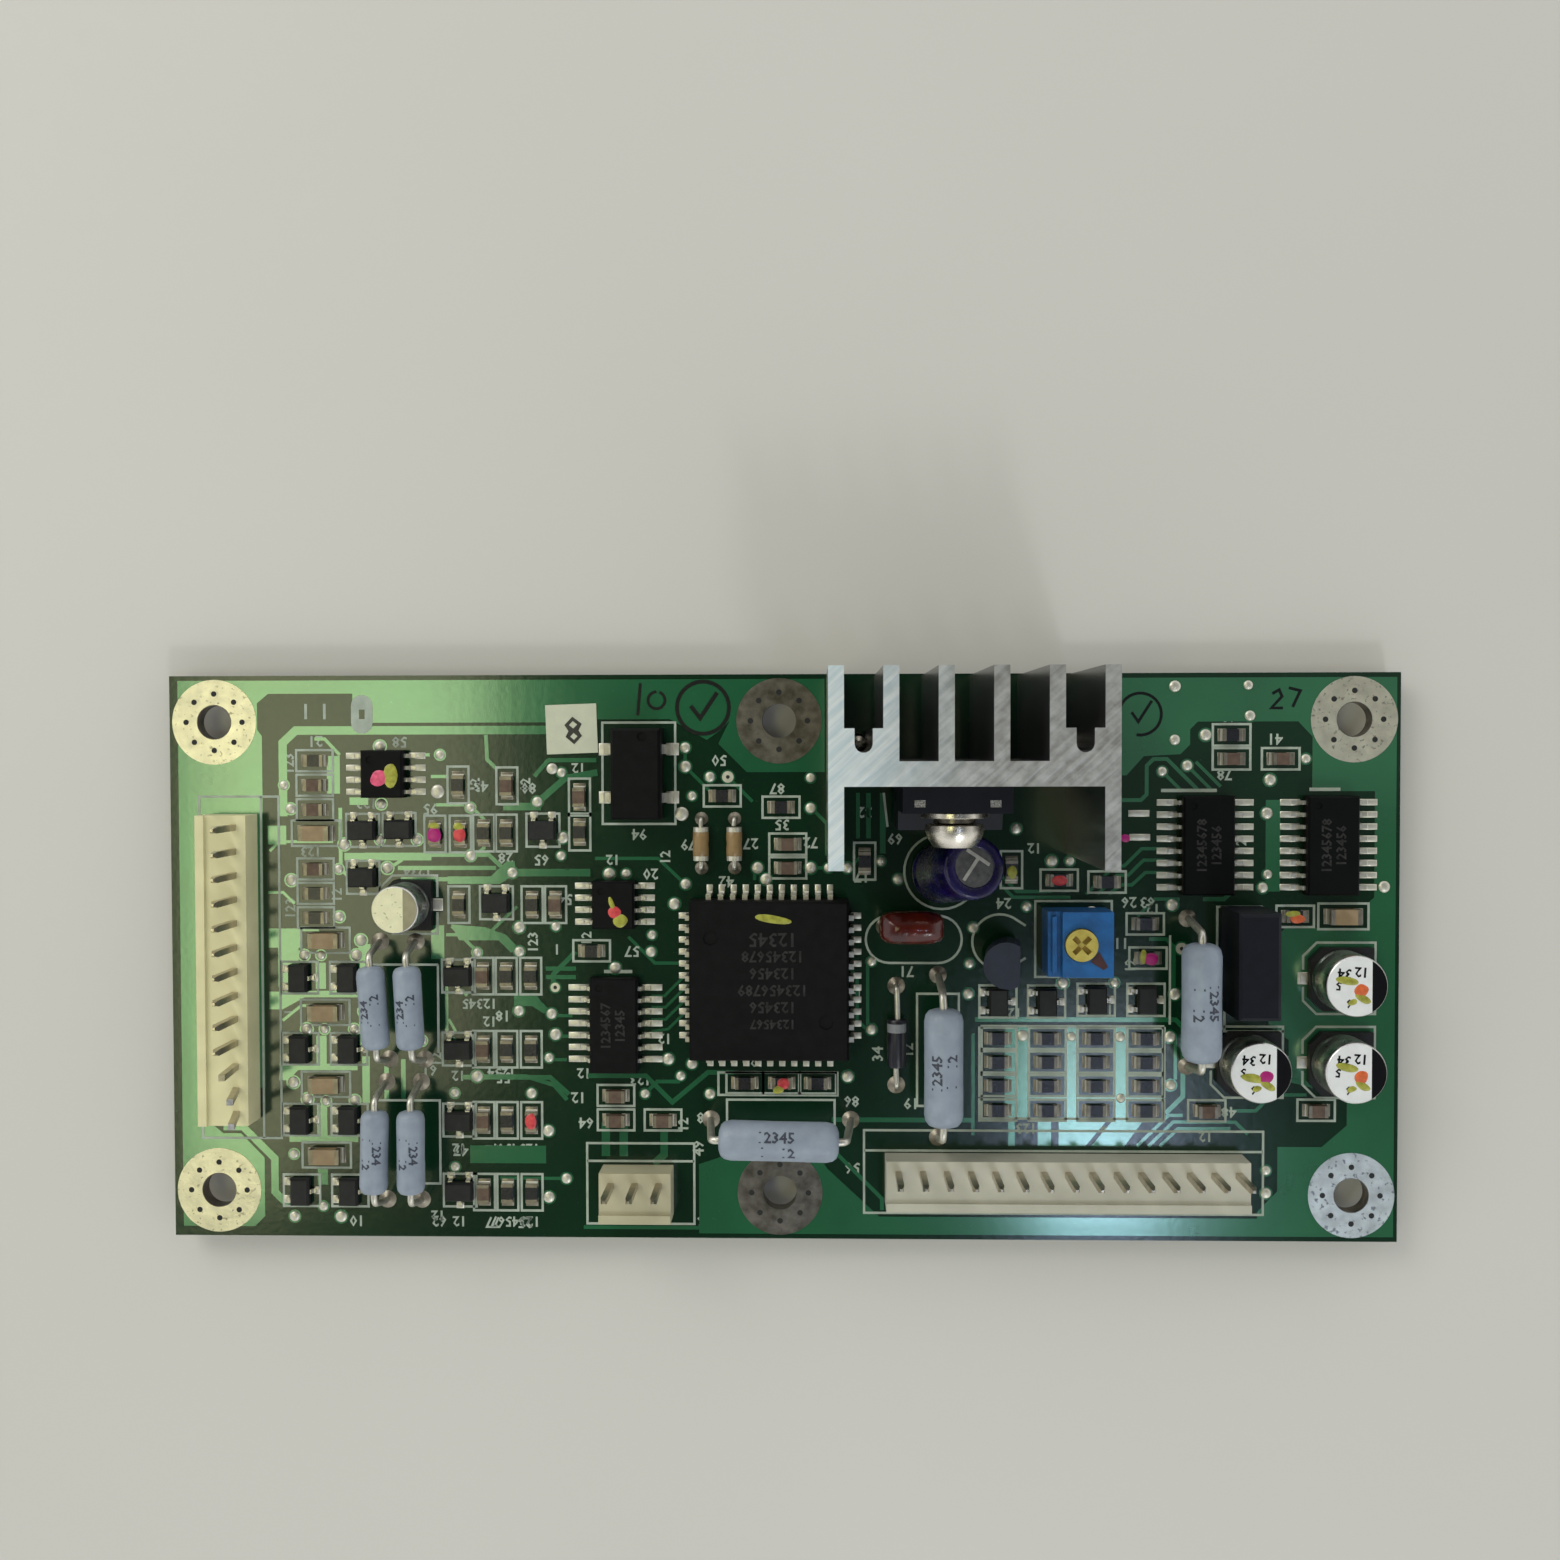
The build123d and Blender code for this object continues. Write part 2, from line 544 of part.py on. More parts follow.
# ---------------------------------------------------------------- three-lead transistors
with BuildPart() as sot_shape:
    with Locations((0, 0, stand_off)):
        Box(sot_width, sot_length, sot_height - stand_off - 0.3, align=UP)
    with BuildSketch(Plane.XY.offset(sot_height - 0.3)) as rim:
        Rectangle(sot_width, sot_length)
    extrude(amount=0.3, taper=30)
sot_lead = gull_lead((sot_span - sot_width) / 2, sot_lead_exit, sot_lead_width)
with BuildPart() as transistor_bodies:
    with Locations(*[Location((x, y, board_top), (0, 0, a)) for x, y, a in sot_places]):
        add(sot_shape.part)
with BuildPart() as transistor_leads:
    spots = []
    for x, y, a in sot_places:
        here = Location((x, y, board_top), (0, 0, a))
        spots.append(here * Location((sot_width / 2, 0, 0)))
        for s in (-1, 1):
            spots.append(here * Location((-sot_width / 2, s * sot_lead_pitch, 0), (0, 0, 180)))
    with Locations(*spots):
        add(sot_lead)
transistor_bodies.part.label = "transistor_bodies"
transistor_leads.part.label = "transistor_leads"
export_step(transistor_bodies.part, "parts/transistor_bodies.step")
export_step(transistor_leads.part, "parts/transistor_leads.step")

# ---------------------------------------------------------------- chip resistors and capacitors
for name, places, length, width, height, cap in (
        ("chip_resistor", chip_resistors, chip_length, chip_width, chip_resistor_height, chip_cap),
        ("chip_capacitor", chip_capacitors, chip_length, chip_width, chip_capacitor_height, chip_cap),
        ("large_chip", large_chips, large_chip_length, large_chip_width, large_chip_height, large_chip_cap)):
    with BuildPart() as bodies:
        with Locations(*[Location((x, y, board_top), (0, 0, a)) for x, y, a in places]):
            Box(length - 2 * cap, width, height, align=UP)
    with BuildPart() as caps:
        spots = []
        for x, y, a in places:
            here = Location((x, y, board_top), (0, 0, a))
            spots += [here * Location((s * (length - cap) / 2, 0, 0)) for s in (-1, 1)]
        with Locations(*spots):
            Box(cap, width, height, align=UP)
    bodies.part.label = name + "_bodies"
    caps.part.label = name + "_ends"
    export_step(bodies.part, "parts/" + name + "_bodies.step")
    export_step(caps.part, "parts/" + name + "_ends.step")


# ---------------------------------------------------------------- wirewound resistors on long leads
def coated_rod(width, length):
    """Dipped body on the X axis, both ends drawn in."""
    with BuildPart() as rod:
        with BuildSketch(Plane.YZ):
            RegularPolygon(width / 2, 10)
        extrude(amount=length / 2, both=True)
        chamfer(rod.faces().filter_by(Axis.X).edges(), width * 0.22)
    return rod.part


def rod_piece(width, length):
    """Plain round body on the X axis."""
    with BuildPart() as piece:
        with BuildSketch(Plane.YZ) as outline:
            RegularPolygon(width / 2, round_sides)
        extrude(amount=length / 2, both=True)
    return piece.part


small_rod = coated_rod(small_resistor_width, small_resistor_length)
small_lead = bent_lead((small_resistor_span - small_resistor_length) / 2, small_resistor_lift, small_resistor_wire)
with BuildPart() as small_resistor_bodies:
    with Locations(*[Location((x, y, board_top + small_resistor_lift), (0, 0, a)) for x, y, a in small_resistor_places]):
        add(small_rod)
with BuildPart() as small_resistor_leads:
    for x, y, a in small_resistor_places:
        with Locations(*ends(x, y, a, small_resistor_length / 2)):
            add(small_lead)
large_rod = coated_rod(large_resistor_width, large_resistor_length)
with BuildPart() as large_resistor_bodies:
    with Locations(*[Location((x, y, board_top + lift), (0, 0, a)) for x, y, a, lift, span in large_resistor_places]):
        add(large_rod)
large_leads = [bent_lead((span - large_resistor_length) / 2, lift, large_resistor_wire)
               for x, y, a, lift, span in large_resistor_places]
with BuildPart() as large_resistor_leads:
    for lead, (x, y, a, lift, span) in zip(large_leads, large_resistor_places):
        with Locations(*ends(x, y, a, large_resistor_length / 2)):
            add(lead)
for piece, name in ((small_resistor_bodies, "small_resistor_bodies"), (small_resistor_leads, "small_resistor_leads"),
                    (large_resistor_bodies, "large_resistor_bodies"), (large_resistor_leads, "large_resistor_leads")):
    piece.part.label = name
    export_step(piece.part, "parts/" + name + ".step")

# ---------------------------------------------------------------- tubular capacitors and the diode
tubular_lead = bent_lead((tubular_span - tubular_length) / 2, tubular_lift, tubular_wire)
tubular_middle = tubular_length - 2 * tubular_cap
with BuildPart() as tubular_bodies:
    with Locations(*[Location((x, y, board_top + tubular_lift), (0, 0, a)) for x, y, a in tubular_places]):
        add(rod_piece(tubular_width, tubular_middle))
with BuildPart() as tubular_caps:
    for x, y, a in tubular_places:
        for end in ends(x, y, a, (tubular_middle + tubular_cap) / 2):
            with Locations(Location((0, 0, board_top + tubular_lift)) * end):
                add(rod_piece(tubular_width * 0.94, tubular_cap))
with BuildPart() as tubular_leads:
    for x, y, a in tubular_places:
        with Locations(*ends(x, y, a, tubular_length / 2)):
            add(tubular_lead)
for piece, name in ((tubular_bodies, "tubular_bodies"), (tubular_caps, "tubular_caps"),
                    (tubular_leads, "tubular_leads")):
    piece.part.label = name
    export_step(piece.part, "parts/" + name + ".step")

diode_places = ends(diode_x, diode_y, 90, diode_length / 2)
diode_leads_shape = [bent_lead(diode_back_reach, diode_lift, diode_wire),
                     bent_lead(diode_front_reach, diode_lift, diode_wire)]
diode_axis = Location((diode_x, diode_y, board_top + diode_lift), (0, 0, 90))
band_place = diode_axis * Location((diode_length / 2 - diode_band, 0, 0))
with BuildPart() as diode_body:
    with Locations(diode_axis * Location((-diode_band * 0.75, 0, 0))):
        add(rod_piece(diode_width, diode_length - diode_band * 1.5))
    with Locations(diode_axis * Location((diode_length / 2 - diode_band * 0.25, 0, 0))):
        add(rod_piece(diode_width, diode_band * 0.5))
with BuildPart() as diode_mark:
    with Locations(band_place):
        add(rod_piece(diode_width, diode_band))
for piece, name in ((diode_body, "diode_body"), (diode_mark, "diode_band")):
    piece.part.label = name
    export_step(piece.part, "parts/" + name + ".step")
with BuildPart() as diode_leads:
    for place, lead in zip(diode_places, diode_leads_shape):
        with Locations(place):
            add(lead)
diode_leads.part.label = "diode_leads"
export_step(diode_leads.part, "parts/diode_leads.step")

# ---------------------------------------------------------------- can capacitors on moulded bases
can_places = [(small_can_x, small_can_y, small_can_width)] + [(x, y, large_can_width) for x, y in large_can_places]
with BuildPart() as can_bases:
    with BuildSketch(Plane.XY.offset(board_top)) as plates:
        for x, y, width in can_places:
            half = width / 2 + can_base_margin
            cut = can_base_chamfer
            with Locations((x, y)):
                Polygon((half, half), (half, -half), (-half + cut, -half), (-half, -half + cut),
                        (-half, half - cut), (-half + cut, half), align=None)
    extrude(amount=can_base_height)
    for x, y, width in can_places:
        with Locations((x, y, board_top)):
            Box(width + 4, can_lead_width, foot_thickness, align=UP, mode=Mode.SUBTRACT)
with BuildPart() as can_shells:
    for x, y, width in can_places:
        tall = can_height - can_base_height
        with BuildSketch(Plane.XY.offset(board_top + can_base_height)) as can_outline:
            with Locations((x, y)):
                RegularPolygon(width / 2, 20)
        extrude(amount=tall - can_rim)
        with BuildSketch(Plane.XY.offset(board_top + can_height - can_rim)) as rim_outline:
            with Locations((x, y)):
                RegularPolygon(width / 2, 20)
        extrude(amount=can_rim, taper=40)
with BuildPart() as can_leads:
    for x, y, width in can_places:
        reach = width / 2 + can_base_margin + can_lead_reach
        with Locations((x + reach / 2 + 0.4, y, board_top), (x - reach / 2 - 0.4, y, board_top)):
            Box(reach - 0.8, can_lead_width, foot_thickness, align=UP)
for piece, name in ((can_bases, "can_bases"), (can_shells, "can_shells"), (can_leads, "can_leads")):
    piece.part.label = name
    export_step(piece.part, "parts/" + name + ".step")

# ---------------------------------------------------------------- leaning radial capacitor
radial_lift = radial_width / 2 * 0.24
with BuildPart() as radial_shape:
    with BuildSketch(Plane.XY) as radial_outline:
        RegularPolygon(radial_width / 2, 20)
    extrude(amount=radial_height)
with BuildPart() as radial_body:
    with Locations(Location((radial_x, radial_y, board_top + radial_lift), (-radial_lean_y, radial_lean_x, 0))):
        add(radial_shape.part)
radial_body.part.label = "radial_body"
export_step(radial_body.part, "parts/radial_body.step")
with BuildPart() as radial_leads:
    with Locations(*[(x, y, -lead_tail) for x, y in radial_holes]):
        Box(radial_wire, radial_wire, lead_tail + board_top + 2.5, align=UP)
    add(radial_body.part, mode=Mode.SUBTRACT)
radial_leads.part.label = "radial_leads"
export_step(radial_leads.part, "parts/radial_leads.step")

# ---------------------------------------------------------------- dipped film capacitor
film_place = Location((film_x, film_y, board_top + film_lift), (-film_lean, 0, 0))
with BuildPart() as film_body:
    with Locations(film_place):
        Box(film_width, film_thickness, film_height, align=UP)
    chamfer(film_body.edges(), 0.9)
film_body.part.label = "film_capacitor_body"
export_step(film_body.part, "parts/film_capacitor_body.step")
with BuildPart() as film_leads:
    with Locations(*[(x, y, -lead_tail) for x, y in film_holes]):
        Box(film_wire, film_wire, lead_tail + board_top + film_lift + 1.4, align=UP)
    add(film_body.part, mode=Mode.SUBTRACT)
film_leads.part.label = "film_capacitor_leads"
export_step(film_leads.part, "parts/film_capacitor_leads.step")

# ---------------------------------------------------------------- D-shaped transistor
with BuildPart() as d_body:
    with BuildSketch(Plane.XY) as d_outline:
        RegularPolygon(d_package_width / 2, 20)
        with Locations((d_package_depth - d_package_width / 2, 0)):
            Rectangle(d_package_width, d_package_width, align=(Align.MIN, Align.CENTER), mode=Mode.SUBTRACT)
    extrude(amount=d_package_height)
d_lean = Location((d_package_x, d_package_y, board_top + d_package_lift), (0, d_package_lean, 0))
with BuildPart() as d_transistor:
    with Locations(d_lean):
        add(d_body.part)
d_transistor.part.label = "d_transistor_body"
export_step(d_transistor.part, "parts/d_transistor_body.step")
with BuildPart() as d_leads:
    with Locations(*[(x, y, -lead_tail) for x, y in d_package_holes]):
        Box(d_package_lead, d_package_lead, lead_tail + board_top + d_package_lift + 1.0, align=UP)
    add(d_transistor.part, mode=Mode.SUBTRACT)
d_leads.part.label = "d_transistor_leads"
export_step(d_leads.part, "parts/d_transistor_leads.step")

# ---------------------------------------------------------------- tall black module
with BuildPart() as module_body:
    with Locations((module_x, module_y, board_top)):
        Box(module_width, module_length, module_height, align=UP)
    chamfer(module_body.faces().sort_by(Axis.Z)[-1].edges(), 0.35)
module_body.part.label = "module_body"
export_step(module_body.part, "parts/module_body.step")
with BuildPart() as module_leads:
    with Locations(*[(x, y, -lead_tail) for x, y in module_holes]):
        Box(module_lead, module_lead, lead_tail + board_top, align=UP)
module_leads.part.label = "module_leads"
export_step(module_leads.part, "parts/module_leads.step")

# ---------------------------------------------------------------- trimmer with its turning rotor
trimmer_top = board_top + trimmer_height
rotor_floor = trimmer_top - rotor_depth
with BuildPart() as trimmer_body:
    with Locations((trimmer_x, trimmer_y, board_top)):
        Box(trimmer_width, trimmer_length, trimmer_height, align=UP)
    with Locations((trimmer_x - trimmer_width / 2, trimmer_y, trimmer_top - trimmer_step_drop)):
        Box(2 * trimmer_step, trimmer_length, trimmer_step_drop, align=UP, mode=Mode.SUBTRACT)
    with Locations((trimmer_x - trimmer_width / 2 + trimmer_step * 0.45, trimmer_y, trimmer_top - trimmer_step_drop)):
        Box(trimmer_ridge, trimmer_length * 0.86, trimmer_step_drop * 0.7, align=UP)
    with Locations((trimmer_x, trimmer_y, rotor_floor)):
        Cylinder(rotor_width / 2 + rotor_play, rotor_depth, align=UP, mode=Mode.SUBTRACT)
trimmer_body.part.label = "trimmer_body"
export_step(trimmer_body.part, "parts/trimmer_body.step")

with BuildPart() as trimmer_rotor:
    with Locations((trimmer_x, trimmer_y, rotor_floor)):
        Cylinder(rotor_width / 2, rotor_depth + rotor_rise, align=UP)
    with Locations(Location((trimmer_x, trimmer_y, trimmer_top + rotor_rise), (0, 0, 45))):
        Box(rotor_slot_length, rotor_slot, 2 * rotor_slot_depth, mode=Mode.SUBTRACT)
        Box(rotor_slot, rotor_slot_length, 2 * rotor_slot_depth, mode=Mode.SUBTRACT)
trimmer_rotor.part.label = "trimmer_rotor"
export_step(trimmer_rotor.part, "parts/trimmer_rotor.step")

with BuildPart() as trimmer_leads:
    with Locations(*[(x, y, -lead_tail) for x, y in trimmer_holes]):
        Box(trimmer_lead, trimmer_lead, lead_tail + board_top, align=UP)
trimmer_leads.part.label = "trimmer_leads"
export_step(trimmer_leads.part, "parts/trimmer_leads.step")

# ---------------------------------------------------------------- inspection label
with BuildPart() as label_sticker:
    with Locations(Location((sticker_x, sticker_y, board_top), (0, 0, sticker_angle))):
        Box(sticker_length, sticker_width, sticker_thickness, align=UP)
label_sticker.part.label = "label_sticker"
export_step(label_sticker.part, "parts/label_sticker.step")
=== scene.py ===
import math
import random

import bpy
from mathutils import Matrix, Vector
from mathutils.geometry import tessellate_polygon


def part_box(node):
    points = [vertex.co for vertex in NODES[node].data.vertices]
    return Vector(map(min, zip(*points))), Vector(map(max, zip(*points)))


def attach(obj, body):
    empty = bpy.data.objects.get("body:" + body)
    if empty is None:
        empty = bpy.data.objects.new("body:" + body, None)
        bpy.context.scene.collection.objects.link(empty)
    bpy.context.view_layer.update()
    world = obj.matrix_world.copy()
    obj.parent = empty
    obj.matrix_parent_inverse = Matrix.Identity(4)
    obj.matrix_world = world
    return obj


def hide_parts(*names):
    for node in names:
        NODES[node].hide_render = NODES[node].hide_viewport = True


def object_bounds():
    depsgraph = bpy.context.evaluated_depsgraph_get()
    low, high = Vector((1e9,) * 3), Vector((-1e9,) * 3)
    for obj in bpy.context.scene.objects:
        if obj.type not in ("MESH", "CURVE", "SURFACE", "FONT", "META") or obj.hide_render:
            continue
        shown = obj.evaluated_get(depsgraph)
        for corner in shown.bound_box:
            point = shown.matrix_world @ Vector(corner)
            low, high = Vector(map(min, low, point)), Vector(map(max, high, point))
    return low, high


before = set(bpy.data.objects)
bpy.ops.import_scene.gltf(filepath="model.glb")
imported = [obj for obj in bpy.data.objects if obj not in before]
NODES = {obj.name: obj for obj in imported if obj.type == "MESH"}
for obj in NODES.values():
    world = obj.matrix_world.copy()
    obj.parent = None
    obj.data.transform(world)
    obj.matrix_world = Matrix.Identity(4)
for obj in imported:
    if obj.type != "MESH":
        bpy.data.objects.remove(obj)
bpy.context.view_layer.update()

# The looks of a populated control board. Sizes are in mm along the frame's axes unless a line says otherwise.
MM = 0.001
UP = Vector((0, 0, 1))


# ---- reading the frame and the tables
def box_mm(name):
    low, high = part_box(name)
    return [v / MM for v in low], [v / MM for v in high]


def islands(name):
    """Bounding boxes (low, high) of a node's separate solids, in a fixed order."""
    mesh = NODES[name].data
    keys, parent, index = {}, [], []
    for v in mesh.vertices:
        key = tuple(round(c * 1e6) for c in v.co)
        if key not in keys:
            keys[key] = len(parent)
            parent.append(len(parent))
        index.append(keys[key])

    def find(i):
        while parent[i] != i:
            parent[i] = parent[parent[i]]
            i = parent[i]
        return i
    for poly in mesh.polygons:
        first = find(index[poly.vertices[0]])
        for other in poly.vertices[1:]:
            parent[find(index[other])] = first
    groups = {}
    for key, i in keys.items():
        groups.setdefault(find(i), []).append([c / 1000 for c in key])
    boxes = [([min(p[a] for p in points) for a in range(3)], [max(p[a] for p in points) for a in range(3)])
             for points in groups.values()]
    return sorted(boxes, key=lambda b: (round(b[0][0], 2), round(b[0][1], 2)))


def middle(b):
    return [(b[0][a] + b[1][a]) / 2 for a in range(3)]


def axis_matrix(centre, direction):
    """Placement whose local +Z runs along a direction."""
    d = Vector(direction).normalized()
    return Matrix.Translation(Vector(centre)) @ d.to_track_quat("Z", "Y").to_matrix().to_4x4()


def numbers(text, between=None):
    return [float(v) for v in text.split(between)]


def points(text):
    """'x,y x,y ...' as tuples."""
    return [tuple(numbers(p, ",")) for p in text.split()]


def corners_of(x0, y0, x1, y1):
    return [(x0, y0), (x1, y0), (x1, y1), (x0, y1)]


def circle(n):
    """(cos, sin) of n even steps."""
    return [(math.cos(2 * math.pi * i / n), math.sin(2 * math.pi * i / n)) for i in range(n)]


def arc(cx, cy, r, a0, a1, steps=14):
    angles = [math.radians(a0 + (a1 - a0) * i / steps) for i in range(steps + 1)]
    return [(cx + r * math.cos(a), cy + r * math.sin(a)) for a in angles]


# ---- materials
def feed(tree, node, sockets):
    """Write values to the input sockets of a node, or link other nodes' outputs to them."""
    for key, value in sockets.items():
        if isinstance(value, bpy.types.NodeSocket):
            tree.links.new(value, node.inputs[key])
        else:
            node.inputs[key].default_value = value


def shade(tree, kind, output, sockets=None, **settings):
    """One output of a new shader node with its settings and input sockets."""
    made = tree.nodes.new("ShaderNode" + kind)
    for name, value in settings.items():
        setattr(made, name, value)
    feed(tree, made, sockets or {})
    return made.outputs[output]


def noise(tree, vector, scale, detail, stretch=None):
    if stretch:
        vector = shade(tree, "Mapping", "Vector", {"Vector": vector, "Scale": stretch})
    return shade(tree, "TexNoise", "Fac", {"Vector": vector, "Scale": scale, "Detail": detail})


def gradient(tree, fac, low, high, at=(0.3, 0.7)):
    color = shade(tree, "ValToRGB", "Color", {"Fac": fac})
    for stop, value, position in zip(color.node.color_ramp.elements, (low, high), at):
        stop.position, stop.color = position, (*value, 1)
    return color


def mix(tree, factor, a, b, kind="RGBA"):
    first, output = (6, 2) if kind == "RGBA" else (2, 0)
    return shade(tree, "Mix", output, {0: factor, first: a, first + 1: b}, data_type=kind)


def new_material(name):
    m = bpy.data.materials.new(name)
    m.use_nodes = True
    return m, m.node_tree, m.node_tree.nodes["Principled BSDF"]


def surface(name, color, rough, metal, vary, size, grain, bump, spec, coat, tint=None, rough_vary=0.1,
            fleck=None):
    """Colour drifts towards `tint` over `size` mm; roughness and relief change over `grain` mm.

    `fleck` is a colour, its size in mm and the noise level above which it shows."""
    m, tree, shader = new_material(name)
    place = shade(tree, "TexCoord", "Object")
    last = gradient(tree, noise(tree, place, 1000 / size, 4), [c * (1 - vary) for c in color],
                    [min(1, c * (1 + vary)) for c in tint or color])
    if fleck:
        shown = shade(tree, "MapRange", "Result", {"Value": noise(tree, place, 1000 / fleck[1], 2),
                                                   "From Min": fleck[2], "From Max": fleck[2] + 0.08})
        last = mix(tree, shown, last, (*fleck[0], 1))
    fine = noise(tree, place, 1000 / grain, 3)
    gloss = shade(tree, "MapRange", "Result", {"Value": fine, "To Min": max(0.03, rough - rough_vary),
                                               "To Max": min(1.0, rough + rough_vary)})
    relief = shade(tree, "Bump", "Normal", {"Strength": bump, "Distance": grain * MM * 0.4, "Height": fine})
    feed(tree, shader, {"Base Color": last, "Roughness": gloss, "Normal": relief, "Metallic": metal,
                        "Specular IOR Level": spec, "Coat Weight": coat, "Coat Roughness": 0.12})
    return m


def mask_material(name, color, metal, spec, coat, edge=None):
    """Glossy green lacquer with a faint glass weave and pin-prick dust; `edge` colours bare cut edges."""
    dust = ([min(1, c * 1.5 + 0.008) for c in color], 0.35, 0.72)
    m = surface(name, color, 0.15, metal, 0.12, 9.0, 0.5, 0.02, spec, coat, rough_vary=0.04, fleck=dust)
    tree = m.node_tree
    shader = tree.nodes["Principled BSDF"]

    def last(socket):
        return shader.inputs[socket].links[0].from_socket
    # one thread of the glass cloth is 0.7 mm
    threads = {"Vector": shade(tree, "TexCoord", "Object"), "Scale": 1000 / 0.7 / 6.283, "Distortion": 0.6}
    warp, weft = [shade(tree, "TexWave", "Fac", threads, bands_direction=axis) for axis in "XY"]
    both = shade(tree, "Math", "Value", {0: warp, 1: weft}, operation="MULTIPLY")
    weave = shade(tree, "Bump", "Normal", {"Strength": 0.06, "Distance": 0.00002, "Height": both,
                                           "Normal": last("Normal")})
    feed(tree, shader, {"Normal": weave})
    if edge:
        facing = shade(tree, "SeparateXYZ", "Z", {"Vector": shade(tree, "TexCoord", "Normal")})
        upright = shade(tree, "Math", "Value", {0: facing}, operation="ABSOLUTE")
        bare = shade(tree, "Math", "Value", {0: upright, 1: 0.5}, operation="LESS_THAN")
        feed(tree, shader, {"Base Color": mix(tree, bare, last("Base Color"), (*edge, 1)),
                            "Roughness": mix(tree, bare, last("Roughness"), 0.62, "FLOAT")})
    return m


def sink_material():
    """Smooth extruded walls in a darker grey, which is painted shade; saw-cut ends with slanting scratches
    and stains, and a painted bluish highlight on them towards -X.
    """
    m, tree, shader = new_material("aluminium")
    place = shade(tree, "TexCoord", "Object")
    facing = shade(tree, "SeparateXYZ", "Z", {"Vector": shade(tree, "TexCoord", "Normal")})
    cut = shade(tree, "Math", "Value", {0: facing, 1: 0.9}, operation="GREATER_THAN")
    turned = shade(tree, "Mapping", "Vector", {"Vector": place, "Rotation": (0, 0, math.radians(-42))})
    scratch = noise(tree, turned, 2400.0, 2, (0.06, 1, 1))
    blots = noise(tree, place, 900.0, 5)
    stains = gradient(tree, blots, (0.23, 0.225, 0.20), (0.53, 0.53, 0.505), (0.36, 0.66))
    lines = gradient(tree, scratch, (0.27, 0.27, 0.25), (0.52, 0.52, 0.50), (0.35, 0.62))
    # painted highlight: towards -X the cut ends blend into this pale bluish white
    painted_highlight = gradient(tree, scratch, (0.70, 0.84, 0.88), (0.93, 1.0, 1.0), (0.35, 0.62))
    along = shade(tree, "SeparateXYZ", "X", {"Vector": place})
    reach = {"Value": along, "From Min": 0.004, "From Max": 0.021, "To Min": 0.85, "To Max": 0.0}
    painted_highlight_mask = shade(tree, "MapRange", "Result", reach, interpolation_type="SMOOTHSTEP")
    top = mix(tree, painted_highlight_mask, mix(tree, 0.45, stains, lines), painted_highlight)
    # drawn lines along the walls, in a grey darker than the cut ends: the darkness is painted shade on the
    # sides of the fins
    drawn = noise(tree, place, 1500.0, 3, (1, 1, 0.05))
    wall_lines_and_shade = gradient(tree, drawn, (0.26, 0.26, 0.26), (0.36, 0.36, 0.36))
    depth = mix(tree, cut, 0.05, 0.65, "FLOAT")
    relief = shade(tree, "Bump", "Normal", {"Distance": 0.00008, "Strength": depth, "Height": scratch})
    feed(tree, shader, {"Base Color": mix(tree, cut, wall_lines_and_shade, top), "Normal": relief,
                        "Metallic": mix(tree, cut, 0.97, 0.45, "FLOAT"),
                        "Roughness": mix(tree, cut, 0.27, 0.32, "FLOAT")})
    return m


